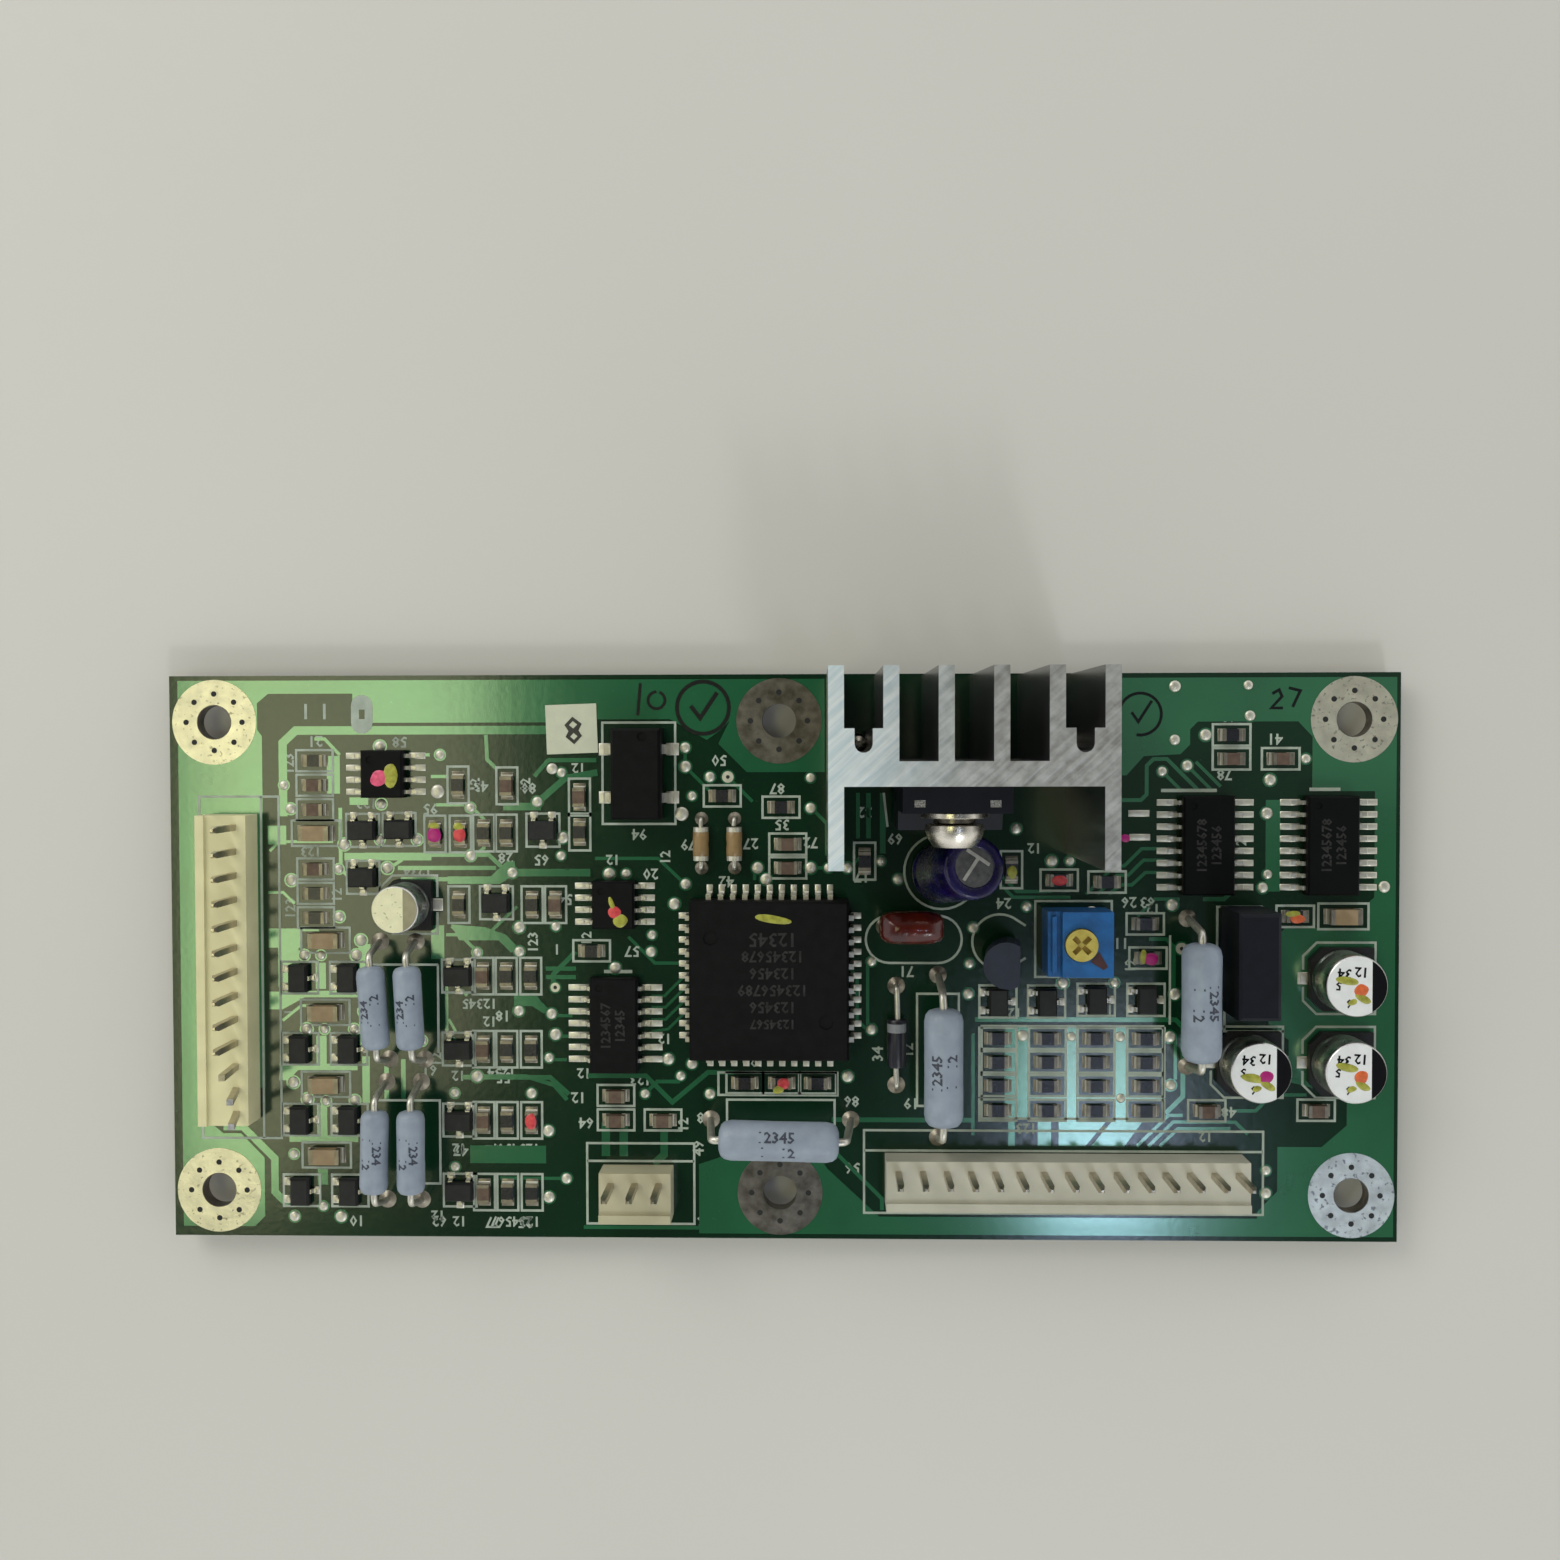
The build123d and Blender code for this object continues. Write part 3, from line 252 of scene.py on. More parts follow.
# name | colour | roughness, metal, colour drift and its size, grain, relief, specular, coat | second colour
SURFACES = """
silk | .36 .41 .34 | .55 0 .14 1.2 .15 .2 .5 0
solder | .62 .6 .5 | .4 .75 .12 .9 .2 .12 .5 0
solder_dull | .25 .225 .175 | .38 .85 .2 .7 .2 .15 .5 0
land | .78 .74 .565 | .36 .9 .14 1.4 .3 .2 .5 0
land_worn | .56 .6 .58 | .38 .85 .2 1.4 .3 .2 .5 0
land_aged | .135 .122 .092 | .32 .8 .35 1.1 .25 .15 .5 0 | .17 .155 .13
dark_hole | .006 .007 .006 | .7 0 .3 2 .25 .15 .5 0
nylon | .475 .46 .365 | .45 0 .07 5 .25 .12 .5 0 | .51 .495 .4
pin | .5 .45 .36 | .32 1 .15 1.2 .15 .15 .5 0
nylon_mid | .43 .395 .255 | .45 0 .07 5 .25 .12 .5 0 | .46 .425 .28
nylon_aged | .66 .62 .355 | .42 0 .07 5 .25 .12 .5 0 | .7 .655 .385
zinc | .6 .56 .48 | .28 1 .18 1.2 .2 .15 .5 0
epoxy_dark | .0035 .0045 .009 | .5 0 .25 1.5 .12 .3 .2 0
epoxy | .002 .0024 .0024 | .55 0 .25 2.5 .1 .35 .1 0
epoxy_grey | .0035 .0037 .0036 | .55 0 .3 1.2 .1 .35 .12 0
lead | .58 .56 .48 | .36 .8 .12 .8 .15 .15 .5 0
package | .013 .018 .036 | .42 0 .25 2 .15 .3 .35 0
small_package | .011 .0115 .011 | .5 0 .35 1 .12 .4 .35 0
glaze | .01 .01 .013 | .3 0 .3 .5 .2 .15 .5 0
ceramic_brown | .085 .05 .034 | .5 0 .15 .6 .12 .15 .5 0 | .11 .07 .045
ceramic_tan | .26 .18 .092 | .5 0 .08 1 .12 .15 .5 0 | .3 .215 .12
coating | .235 .275 .335 | .42 0 .07 1.8 .5 .25 .5 0 | .26 .305 .36
coating_print | .035 .04 .06 | .5 0 .2 .5 .25 .15 .5 0
tan_coating | .24 .155 .06 | .35 0 .1 .8 .3 .15 .5 0
faint_print | .024 .024 .022 | .6 0 .35 .8 .25 .15 .2 0
label_ink | .045 .045 .035 | .6 0 .3 .8 .25 .15 .2 0
diode | .008 .008 .014 | .35 0 .2 .8 .15 .15 .5 0
diode_band | .2 .21 .22 | .5 0 .15 .6 .15 .15 .5 0
can | .62 .61 .59 | .3 1 .06 1.5 .4 .05 .5 0
can_bare_tan | .27 .25 .17 | .4 .3 .12 .8 .15 .15 .5 0
can_top | .72 .73 .72 | .45 0 .05 1.2 .15 .15 .5 0
can_top_cream | .72 .7 .45 | .45 0 .08 1 .15 .15 .5 0
can_print | .003 .003 .004 | .5 0 .2 .7 .25 .15 .1 0
can_base | .008 .008 .008 | .5 0 .2 1 .25 .15 .3 0
sleeve | .001 .001 .02 | .26 0 .4 1.6 .6 .2 .35 .08 | .006 .003 .05
sleeve_print | .07 .07 .11 | .4 0 .2 .6 .25 .15 .5 0
can_bare | .11 .11 .11 | .42 .6 .3 .6 .2 .15 .5 0
vent | .44 .43 .4 | .4 .4 .15 .6 .2 .15 .5 0
film | .042 .004 .002 | .16 0 .2 1.6 .9 .2 .4 .12 | .07 .007 .003
blue | .004 .082 .255 | .4 0 .14 1.4 .3 .3 .5 0 | .006 .1 .3
yellow | .46 .36 .055 | .42 0 .1 .9 .2 .2 .5 0 | .5 .41 .09
slot_shade | .25 .155 .01 | .5 0 .15 .5 .25 .15 .5 0
brown_mark | .05 .014 .012 | .5 0 .3 .6 .25 .15 .5 0
paper | .52 .54 .4 | .75 0 .05 1.5 .2 .3 .5 0
paint_pink | .62 .05 .13 | .35 0 .2 .6 .25 .15 .5 0 | .7 .1 .2
paint_red | .5 .03 .045 | .35 0 .2 .6 .25 .15 .5 0 | .6 .06 .06
paint_magenta | .36 .006 .14 | .35 0 .2 .6 .25 .15 .5 0
paint_olive | .27 .27 .02 | .4 0 .2 .6 .25 .15 .5 0 | .36 .36 .05
paint_orange | .62 .12 .03 | .35 0 .2 .6 .25 .15 .5 0
ink | .002 .004 .003 | .4 0 .3 .6 .25 .15 .3 0
floor | .595 .578 .535 | .6 0 .015 120 2 .03 .5 0 | .6 .584 .545
"""
FLECKS = {"land": ((0.40, 0.37, 0.27), 0.45, 0.62), "land_worn": ((0.22, 0.24, 0.25), 0.5, 0.60),
          "can_top_cream": ((0.38, 0.38, 0.22), 0.5, 0.62)}
MATERIALS = {"mask": mask_material("mask", (0.0025, 0.021, 0.0075), 0.0, 0.5, 0.0, (0.15, 0.17, 0.075)),
             "mask_copper": mask_material("mask_copper", (0.0155, 0.146, 0.055), 0.35, 1.0, 1.0),
             "aluminium": sink_material()}
for row in SURFACES.strip().splitlines():
    key, *columns = row.split("|")
    key = key.strip()
    color, values, tint = [numbers(column) for column in (columns + [""])[:3]]
    MATERIALS[key] = surface(key, color, *values, tint=tint, fleck=FLECKS.get(key))


# ---- mesh building
def strip(rows, n, wrap=False):
    """Quads between neighbouring rings of n points; `wrap` joins the last ring to the first."""
    return [[k * n + i, k * n + (i + 1) % n, (k + 1) % rows * n + (i + 1) % n, (k + 1) % rows * n + i]
            for k in range(rows if wrap else rows - 1) for i in range(n)]


def twice_area(loop):
    """Twice the signed area of a loop of points."""
    return sum(p[0] * q[1] - p[1] * q[0] for p, q in zip(loop, loop[1:] + loop[:1]))


def upward(flat, triangle):
    """The triangle of flat points, turned to face +Z."""
    a, b, c = (flat[i] for i in triangle)
    return list(triangle if (b - a).cross(c - a).z > 0 else triangle[::-1])


class Shape:
    """Closed solids gathered into one mesh, each with its material."""

    def __init__(self):
        self.verts, self.faces, self.mats, self.used = [], [], [], []

    def add(self, verts, faces, key):
        if key not in self.used:
            self.used.append(key)
        base = len(self.verts)
        self.verts += verts
        self.faces += [[base + i for i in f] for f in faces]
        self.mats += [self.used.index(key)] * len(faces)

    def rings(self, loops, key):
        """Closed skin over a stack of equal loops of points."""
        n, last = len(loops[0]), (len(loops) - 1) * len(loops[0])
        caps = [list(range(n))[::-1], [last + i for i in range(n)]]
        self.add([p for loop in loops for p in loop], strip(len(loops), n) + caps, key)

    def prism(self, outline, z0, z1, key):
        outline = outline if twice_area(outline) > 0 else outline[::-1]
        self.rings([[(x, y, z) for x, y in outline] for z in (z0, z1)], key)

    def block(self, x0, y0, x1, y1, z0, z1, key):
        self.prism(corners_of(x0, y0, x1, y1), z0, z1, key)

    def plate(self, outline, holes, z0, z1, key):
        """Prism with round holes (x, y, radius) through it."""
        loops = [[Vector((x, y, 0)) for x, y in outline]]
        loops += [[Vector((x + r * c, y + r * s, 0)) for c, s in circle(24)] for x, y, r in holes]
        flat = [p for loop in loops for p in loop]
        n = len(flat)
        verts = [(p.x, p.y, z1) for p in flat] + [(p.x, p.y, z0) for p in flat]
        faces = []
        for triangle in tessellate_polygon(loops):
            t = upward(flat, triangle)
            faces += [t, [n + i for i in t[::-1]]]
        start = 0
        for k, loop in enumerate(loops):
            outward = (twice_area(loop) > 0) == (k == 0)
            for i in range(len(loop)):
                a, b = start + i, start + (i + 1) % len(loop)
                faces.append([b, a, n + a, n + b] if outward else [a, b, n + b, n + a])
            start += len(loop)
        self.add(verts, faces, key)

    def round(self, x, y, profile, key, n=20):
        """Revolved profile of (radius, z) about a vertical axis; small radii close it."""
        self.rings([[(x + r * c, y + r * s, z) for c, s in circle(n)] for r, z in profile], key)

    def skin(self, matrix, profile, key, n=28):
        """Revolved profile of (radius, height) on a placed axis (local +Z)."""
        self.rings([[tuple(matrix @ Vector((r * c, r * s, z))) for c, s in circle(n)]
                    for r, z in profile], key)

    def dome(self, x, y, r, z, h, key, n=14):
        steps = ((1, 0), (0.93, 0.45), (0.68, 0.82), (0.25, 1))
        self.round(x, y, [(r * share, z + h * rise) for share, rise in steps], key, n)

    def ring(self, x, y, r0, r1, z0, z1, key, n=40):
        """Flat washer."""
        section = ((r0, z0), (r1, z0), (r1, z1), (r0, z1))
        verts = [(x + r * c, y + r * s, z) for r, z in section for c, s in circle(n)]
        self.add(verts, strip(4, n, wrap=True), key)

    def line(self, path, width, z0, z1, key, closed=False):
        """Flat track along a path, mitred at its bends."""
        pts = [Vector(p) for p in path]
        n = len(pts)
        sides = []
        for i, p in enumerate(pts):
            before = (p - pts[i - 1]).normalized() if i or closed else (pts[1] - p).normalized()
            after = (pts[(i + 1) % n] - p).normalized() if i < n - 1 or closed else before
            along = before + after
            along = along.normalized() if along.length > 1e-6 else before
            side = Vector((-along.y, along.x))
            reach = width / 2 / max(0.5, side.dot(Vector((-before.y, before.x))))
            sides.append((tuple(p - side * reach), tuple(p + side * reach)))
        for i in range(n if closed else n - 1):
            here, there = sides[i], sides[(i + 1) % n]
            self.prism([here[0], there[0], there[1], here[1]], z0, z1, key)

    def tube(self, path, r, key, n=12, bend=0.5):
        """Round wire through 3-D points with rounded corners."""
        pts = [Vector(p) for p in path]
        smooth = [pts[0]]
        for a, b, c in zip(pts, pts[1:], pts[2:]):
            d = min(bend, (b - a).length * 0.45, (c - b).length * 0.45)
            p, q = b + (a - b).normalized() * d, b + (c - b).normalized() * d
            smooth += [p * (1 - t) ** 2 + b * 2 * t * (1 - t) + q * t * t for t in (k / 5 for k in range(6))]
        pts = smooth + [pts[-1]]
        loops, normal = [], None
        for i, p in enumerate(pts):
            d = (pts[min(i + 1, len(pts) - 1)] - pts[max(i - 1, 0)]).normalized()
            if normal is None:
                normal = d.orthogonal().normalized()
            normal = (normal - d * normal.dot(d)).normalized()
            other = d.cross(normal)
            loops.append([tuple(p + normal * r * c + other * r * s) for c, s in circle(n)])
        self.rings(loops, key)

    def socket_head(self, matrix, profile, arm, half, depth, key, n=40):
        """Round head on the local +Z axis with a cross recess in its face."""
        verts = [matrix @ Vector((r * c, r * s, z)) for r, z in profile for c, s in circle(n)]
        faces = [list(range(n))[::-1]] + strip(len(profile), n)
        rim, top = (len(profile) - 1) * n, profile[-1][1]
        cross = []
        for q in range(4):
            a = math.pi / 4 + math.pi / 2 * q
            d, s = Vector((math.cos(a), math.sin(a), 0)), Vector((-math.sin(a), math.cos(a), 0))
            cross += [d * arm - s * half, d * arm + s * half, d * half + s * half]
        flat = [Vector((profile[-1][0] * c, profile[-1][0] * s, 0)) for c, s in circle(n)]
        base = len(verts)
        verts += [matrix @ (p + UP * top) for p in cross]
        verts += [matrix @ (p * 0.82 + UP * (top - depth)) for p in cross]
        index = list(range(rim, rim + n)) + list(range(base, base + 12))
        faces += [[index[i] for i in upward(flat + cross, t)] for t in tessellate_polygon([flat, cross])]
        faces += [[base + (i + 1) % 12, base + i, base + 12 + i, base + 12 + (i + 1) % 12] for i in range(12)]
        faces += [[base + 12 + i for i in upward(cross, t)] for t in tessellate_polygon([cross])]
        self.add([tuple(v) for v in verts], faces, key)

    def blob(self, x, y, z, rx, ry, h, key, turn, seed, n=16):
        """Irregular drop of paint."""
        r = random.Random(seed)
        wob = [1 + r.uniform(-0.16, 0.16) for _ in range(n)]
        wob = [(wob[i - 1] + wob[i] * 2 + wob[(i + 1) % n]) / 4 for i in range(n)]
        loops, c, s = [], math.cos(turn), math.sin(turn)
        for size, rise in ((1.0, 0.0), (0.9, 0.55), (0.6, 0.9), (0.2, 1.0)):
            uv = [(rx * size * w * cu, ry * size * w * su) for w, (cu, su) in zip(wob, circle(n))]
            loops.append([(x + u * c - v * s, y + u * s + v * c, z + h * rise) for u, v in uv])
        self.rings(loops, key)

    def digits(self, text, x, y, size, turn, z, key, wrap=None):
        """Plain digits as thin flat solids; `wrap` bends their points."""
        curve = bpy.data.curves.new("digits", "FONT")
        curve.body = text
        curve.size = size * MM * 1.35
        curve.extrude = 0.00002
        curve.offset = 0.00003
        curve.resolution_u = 1
        curve.align_x = curve.align_y = "CENTER"
        obj = bpy.data.objects.new("digits", curve)
        bpy.context.collection.objects.link(obj)
        bpy.context.view_layer.update()
        mesh = bpy.data.meshes.new_from_object(obj.evaluated_get(bpy.context.evaluated_depsgraph_get()))
        place = Matrix.Translation(Vector((x, y, z)) * MM)
        mesh.transform(place @ Matrix.Rotation(math.radians(turn), 4, "Z"))
        verts = [tuple(v.co / MM) for v in mesh.vertices]
        faces = [list(p.vertices) for p in mesh.polygons]
        bpy.data.objects.remove(obj)
        self.add([wrap(*v) for v in verts] if wrap else verts, faces, key)

    def make(self, name, slot, smooth=None, body="board", replaces=()):
        """The piece of this shape; `smooth` is the sharpest angle shaded round, in degrees."""
        mesh = bpy.data.meshes.new(name)
        mesh.from_pydata([[c * MM for c in v] for v in self.verts], [], self.faces)
        for key in self.used:
            mesh.materials.append(MATERIALS[key])
        mesh.polygons.foreach_set("material_index", self.mats)
        mesh.update()
        if smooth:
            mesh.polygons.foreach_set("use_smooth", [True] * len(mesh.polygons))
            mesh.set_sharp_from_angle(angle=math.radians(smooth))
        obj = bpy.data.objects.new(name, mesh)
        bpy.context.collection.objects.link(obj)
        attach(obj, body)
        if replaces:
            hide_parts(*replaces)


# ---- CAD nodes that stay, by material
# the three header bases are copies of one nylon, each set to how bright and warm it shows under its light:
# the left one lighter and yellower, partly aged nylon and partly painted warm light; the side one a little
# darker and yellower than the front one
LOOKS = {
    "mask": "circuit_board", "nylon_aged": "left_header_base", "nylon": "front_header_base",
    "nylon_mid": "side_header_base", "pin": "left_header_pins front_header_pins side_header_pins",
    "aluminium": "heat_sink", "zinc": "heat_sink_screws regulator_screw regulator_washers",
    "epoxy_dark": "regulator_body module_body", "package": "d_transistor_body",
    "epoxy_grey": "square_chip_body fourteen_pin_chip_bodies eight_pin_chip_bodies coupler_body",
    "epoxy": "sixteen_pin_chip_bodies", "small_package": "transistor_bodies",
    "lead": """square_chip_leads sixteen_pin_chip_leads fourteen_pin_chip_leads eight_pin_chip_leads
            coupler_leads transistor_leads regulator_leads d_transistor_leads module_leads trimmer_leads
            small_resistor_leads large_resistor_leads tubular_leads diode_leads radial_leads
            film_capacitor_leads can_leads""",
    "solder": "tubular_caps", "solder_dull": "chip_resistor_ends chip_capacitor_ends large_chip_ends",
    "glaze": "chip_resistor_bodies", "ceramic_brown": "chip_capacitor_bodies",
    "ceramic_tan": "large_chip_bodies", "coating": "small_resistor_bodies large_resistor_bodies",
    "tan_coating": "tubular_bodies", "diode": "diode_body", "diode_band": "diode_band", "can": "can_shells",
    "can_base": "can_bases", "sleeve": "radial_body", "film": "film_capacitor_body", "blue": "trimmer_body",
    "yellow": "trimmer_rotor", "paper": "label_sticker"}
for key, names in LOOKS.items():
    for node in names.split():
        mesh = NODES[node].data
        mesh.materials.clear()
        mesh.materials.append(MATERIALS[key])
        mesh.polygons.foreach_set("material_index", [0] * len(mesh.polygons))

# levels: board, copper under the mask, printed legend, pen marks, copper of the underside
TOP = box_mm("circuit_board")[1][2]
COPPER_Z = TOP + 0.035
SILK_Z = TOP + 0.055
PEN_Z = TOP + 0.05
LOW_Z = -0.035
HOLE_R = 1.85
# mounting holes on the board's 60 x 50 mm pattern, with the look of their lands
LANDS = [(x, y, "land_aged" if x == 0 else "land_worn" if (x, y) == (60, -25) else "land")
         for x in (-60, 0, 60) for y in (-25, 25)]

# ---- copper under the mask: pours and tracks
# outlines of the copper areas; two points are the corners of a rectangle
POURS = """
-63.9,29.4 -63.9,-28.9 -56.2,-28.9 -55.1,-27.8 -55.1,-21.5 -57.6,-18.9 -59.5,-18.9 -61.9,-17 -61.9,-14
-54.9,-14 -54.9,23.5 -55.4,24.2 -55.4,27 -54.2,28 -45.2,28 -45.2,24.9 -20.5,24.9 -19.4,25.2 -11.5,25.2
-7.6,23 -6.2,24 -5.2,25 -5.2,29.4;
-5.2,29.4 -5.2,25 -6.4,22.6 -3.4,19.6 4.8,19.6 4.8,29.4;
35.4,29.4 35.4,19.2 36.4,19.2 38.2,21.2 42,21.4 43,22.4 43,24 43.8,24.8 54.2,24.8 55.7,23.2 55.7,17.5
62.2,17.5 62.2,6.4 61.5,5.8 61.5,3.2 53,3.2 51.3,1.5 51.3,-7.2 53.4,-8.6 53.4,-13 59.5,-14.6 59.5,-17.6
56.9,-19.9 52.3,-19.9 52.3,-24.6 50.2,-26.8 50.2,-27.5 10.5,-27.5 5,-22.4 3.8,-20.6 -4.4,-20.6 -8.6,-22
-8.6,-29.4 64.4,-29.4 64.4,29.4;
-20.9,-28.9 -20.9,-29 -8.6,-29 -8.6,-28.6 -20.9,-28.6; 29.4,-17 34.6,-17 32.2,-19.9 29.4,-19.9;
35.2,-17 38.4,-17 36.3,-19.9 32.8,-19.9; -33,-20.1 -24.9,-22; 50.9,16.6 52.4,7; -53.4,2.4 -51.2,-3.2;
-54.4,3 -50.8,1; -54.4,-3.7 -51.6,-3.7 -49.4,-3.6 -44.9,-3.6 -44.9,-4.3 -50.6,-4.3 -53,-5.6 -54.4,-5.6;
-49.4,-0.6 -48.3,-3.4; -49.4,-8.4 -48.3,-11.6;
-53.4,-11.4 -45,-11.4 -45,-12.1 -51.4,-12.1 -52.4,-13.2 -53.4,-13.2; -49.4,-15.8 -48.3,-19.3;
-52.4,-19.1 -45,-19.8; -49.4,-22.7 -48.3,-24.4;
-34.9,3.5 -31.2,3.2 -29,2.4 -27.6,0.9 -28.5,0.5 -29.8,1.8 -34,1.8;
-28.2,-3.8 -25.9,-3.8 -25.4,-4.6 -24.4,-5.6 -25,-6 -26.3,-5.2 -28.2,-5.2; -46.2,11.1 -36.9,10.3;
-35.2,8.6 -30.6,8.6 -28.9,10.2 -28,10.2 -28,9.4 -20,9.4 -20,8.6 -28.4,8.6 -29.6,7.8 -35.2,7.8;
-29.2,16.4 -25.2,15.6; -48,17.4 -46.6,21.4; -45.6,17 -43.6,16.2; -54.4,14 -52.4,12; -37,3.4 -35.6,-0.2;
-44.8,1.4 -43.5,-9.8; 23.7,-7.1 40.5,-7.1 40.5,-17 29.6,-17 28.6,-17 23.7,-17; 24.1,-17 24.8,-19.9;
27.2,-17 28.6,-19.9"""
# the width of each track, then its points
TRACKS = """
0.9:-52.7,15 -52.7,22.8 -51.3,24.1 -19.9,24.1; 0.8:-59.5,-18.2 -57.4,-18.2 -54,-21.6 -54,-25.2 -52.6,-26.6;
0.35:-49.3,23.2 -48.2,23.2 -46.6,21.5; 0.45:-44,10.9 -30.8,10.9 -28.7,8.9; 0.45:-40.5,9.5 -30,9.5;
0.45:-40.2,8.3 -29,8.3; 0.35:-35.4,2.4 -31,2.4 -27.8,5.4; 0.35:-34.8,3.3 -32.2,0.7;
0.4:-31,23.6 -30.9,21 -29.8,19.9; 0.45:-25.9,19.2 -24.4,20.9 -19.3,20.9; 0.7:-25.4,16.6 -22.6,19 -19.2,19.6;
0.8:-44.1,-10.6 -44.1,-15.6; 0.5:-41.9,-10.9 -41.9,-15.4; 0.5:-40.1,-10.9 -40.1,-15.4;
0.35:-35.4,-3 -35.4,-8 -34.5,-8.9; 0.35:-35.9,1.2 -35.9,-1.4 -33.2,-4.1;
0.35:-19.5,10.5 -12.8,10.5 -10.4,8.2; 0.35:-16,2.2 -13.2,-0.6 -9.9,-0.6;
0.3:-9.9,-1.8 -12.2,-4.1 -13.6,-4.1; 0.3:-9.9,-3.1 -12.1,-5.3 -13.6,-5.3;
0.3:-9.9,-4.4 -12.1,-6.6 -13.6,-6.6; 0.3:-9.9,-5.7 -11.8,-7.6 -13.6,-7.9;
0.5:-20.4,-12.6 -14.2,-12.6 -11.4,-15.4 -7.6,-12.2 -4.8,-12.2; 0.4:-14.4,-14.6 -13,-13.2 -10.6,-13.2;
0.9:-18.5,-17.6 -18.5,-21.2; 0.9:-16.6,-17.6 -16.6,-21.2; 0.8:-12.3,-18.2 -12.3,-21 -13.4,-22;
0.35:9.3,-0.6 9.3,-7.4; 0.35:7.4,-1.2 8.2,-2 8.2,-6.6 9.4,-7.8; 0.5:5.5,-17.2 20.4,-17.2;
0.4:4.6,-19.4 10.8,-25.6 10.8,-26.8; 0.4:8.3,17.4 8.3,12.6; 0.5:9.4,17.4 9.4,12.6; 0.6:10.9,17.4 10.9,11;
0.4:35.4,16.6 37.9,16.6 38.5,17.2 38.5,20.2 39.2,20.9 40.6,20.9 43.9,17.6;
0.35:40.1,19.6 42.1,17.6 44.6,17.6; 0.35:42.7,20.2 45.4,17.5; 0.35:43.6,20.6 46.2,18;
0.35:33.4,6.7 35.4,8.7 36.6,8.7 38.2,10.3 40.4,10.3; 0.35:32.2,6.7 35.2,9.7 36.2,9.7 38,11.5 40.4,11.5;
0.35:34.6,6.7 35.8,7.7 37,7.7 38.4,9 40.4,9; 0.35:30.6,6.4 24.6,6.4 23.4,7.6; 0.35:28.6,7 25,7 22,10;
0.35:42,6.2 39.4,6.2 37.6,4.4; 0.4:41.4,-3.8 41.4,1.2 40.6,2 38.8,2;
0.5:20.6,-6.5 41.6,-6.5 42.4,-7.3 42.4,-14.6 40.6,-16.4; 0.35:20.4,-18.8 20.4,-8; 0.35:41.6,-8.2 41.6,-12.8;
0.35:38.8,-19.9 41.4,-17.3 47.9,-17.3 49.2,-18.6; 0.35:40,-19.9 41.9,-18 47.4,-18;
0.35:37.6,-19.9 40.9,-16.6 42.4,-16.6; 0.45:44.4,6.2 46.6,6.2 47.2,6.8;
0.35:55.3,-14.4 51.7,-14.4 50,-16.1 47.6,-16.1; 0.5:-21.6,0.6 -24,-1.8 -24,-3.2; 0.35:-24,-6.2 -22,-6.2;
0.35:-24,-8.4 -22,-8.4; 0.35:-24.6,-10.9 -22.6,-10.9; 0.5:-33.8,-12.8 -24.4,-12.8 -22.4,-14.6;
0.35:-22.8,-23.6 -29.8,-23.6; 0.35:-2.6,9.6 -2.6,8.2; 0.35:3.3,9.5 7.4,9.5 9.2,11.3;
0.35:3.2,16 5,14.2 5,10.8; 0.3:-54.2,11.3 -53.2,12.3 -47.4,12.3; 0.3:-54.4,6.9 -52.8,6.9 -51.6,5.7;
0.3:-54.4,2.9 -49,2.9; 0.45:-31.8,-12.7 -27,-12.7 -24,-13.6 -22.6,-15.2; 0.3:-53,-6.8 -51,-5.2 -50,-5.2;
0.4:-46.6,15.9 -46.6,9.4 -45.8,8.6; 0.35:-36.9,19.2 -35.2,19.2;
0.35:-32.6,16 -31.3,14.7 -31.3,11.6 -32.2,10.9; 0.35:-37,21.5 -38,21.5; 0.35:-36.4,16.2 -33.4,16.2;
0.35:-41.2,9.6 -40,10.4; 0.45:-21.6,-1.2 -24.8,-1.2; 0.45:-21.6,-2.1 -24.8,-2.1; 0.3:-35.2,-6.6 -34.4,-8;
0.35:-5.4,19.1 -2.8,16.5; 0.35:-9.9,22.2 -9.9,20.2 -7.4,17.7"""


def covers(outline, x, y):
    """Whether a point lies inside an outline."""
    hits = 0
    for (x0, y0), (x1, y1) in zip(outline, outline[1:] + outline[:1]):
        if (y0 > y) != (y1 > y) and x < x0 + (x1 - x0) * (y - y0) / (y1 - y0):
            hits += 1
    return hits % 2 == 1


# areas and tracks lie at slightly different levels, so that faces that cross don't flicker
copper = Shape()
for i, border in enumerate(points(part) for part in POURS.split(";")):
    if len(border) == 2:
        border = corners_of(*border[0], *border[1])
    holes = [(x, y, HOLE_R + 0.4) for x, y, key in LANDS if covers(border, x, y)]
    copper.plate(border, holes, TOP, COPPER_Z - 0.0003 * i, "mask_copper")
for b in islands("chip_resistor_bodies") + islands("chip_capacitor_bodies"):
    x, y, z = middle(b)
    if 24.0 < x < 40.5 and -17.0 < y < -7.2:
        copper.block(x - 1.8, y - 0.98, x + 1.8, y + 0.98, TOP, COPPER_Z + 0.002, "mask")
for i, (width, path) in enumerate(row.split(":") for row in TRACKS.split(";")):
    copper.line(points(path), float(width), TOP, COPPER_Z - 0.012 - 0.0006 * (i % 9), "mask_copper")

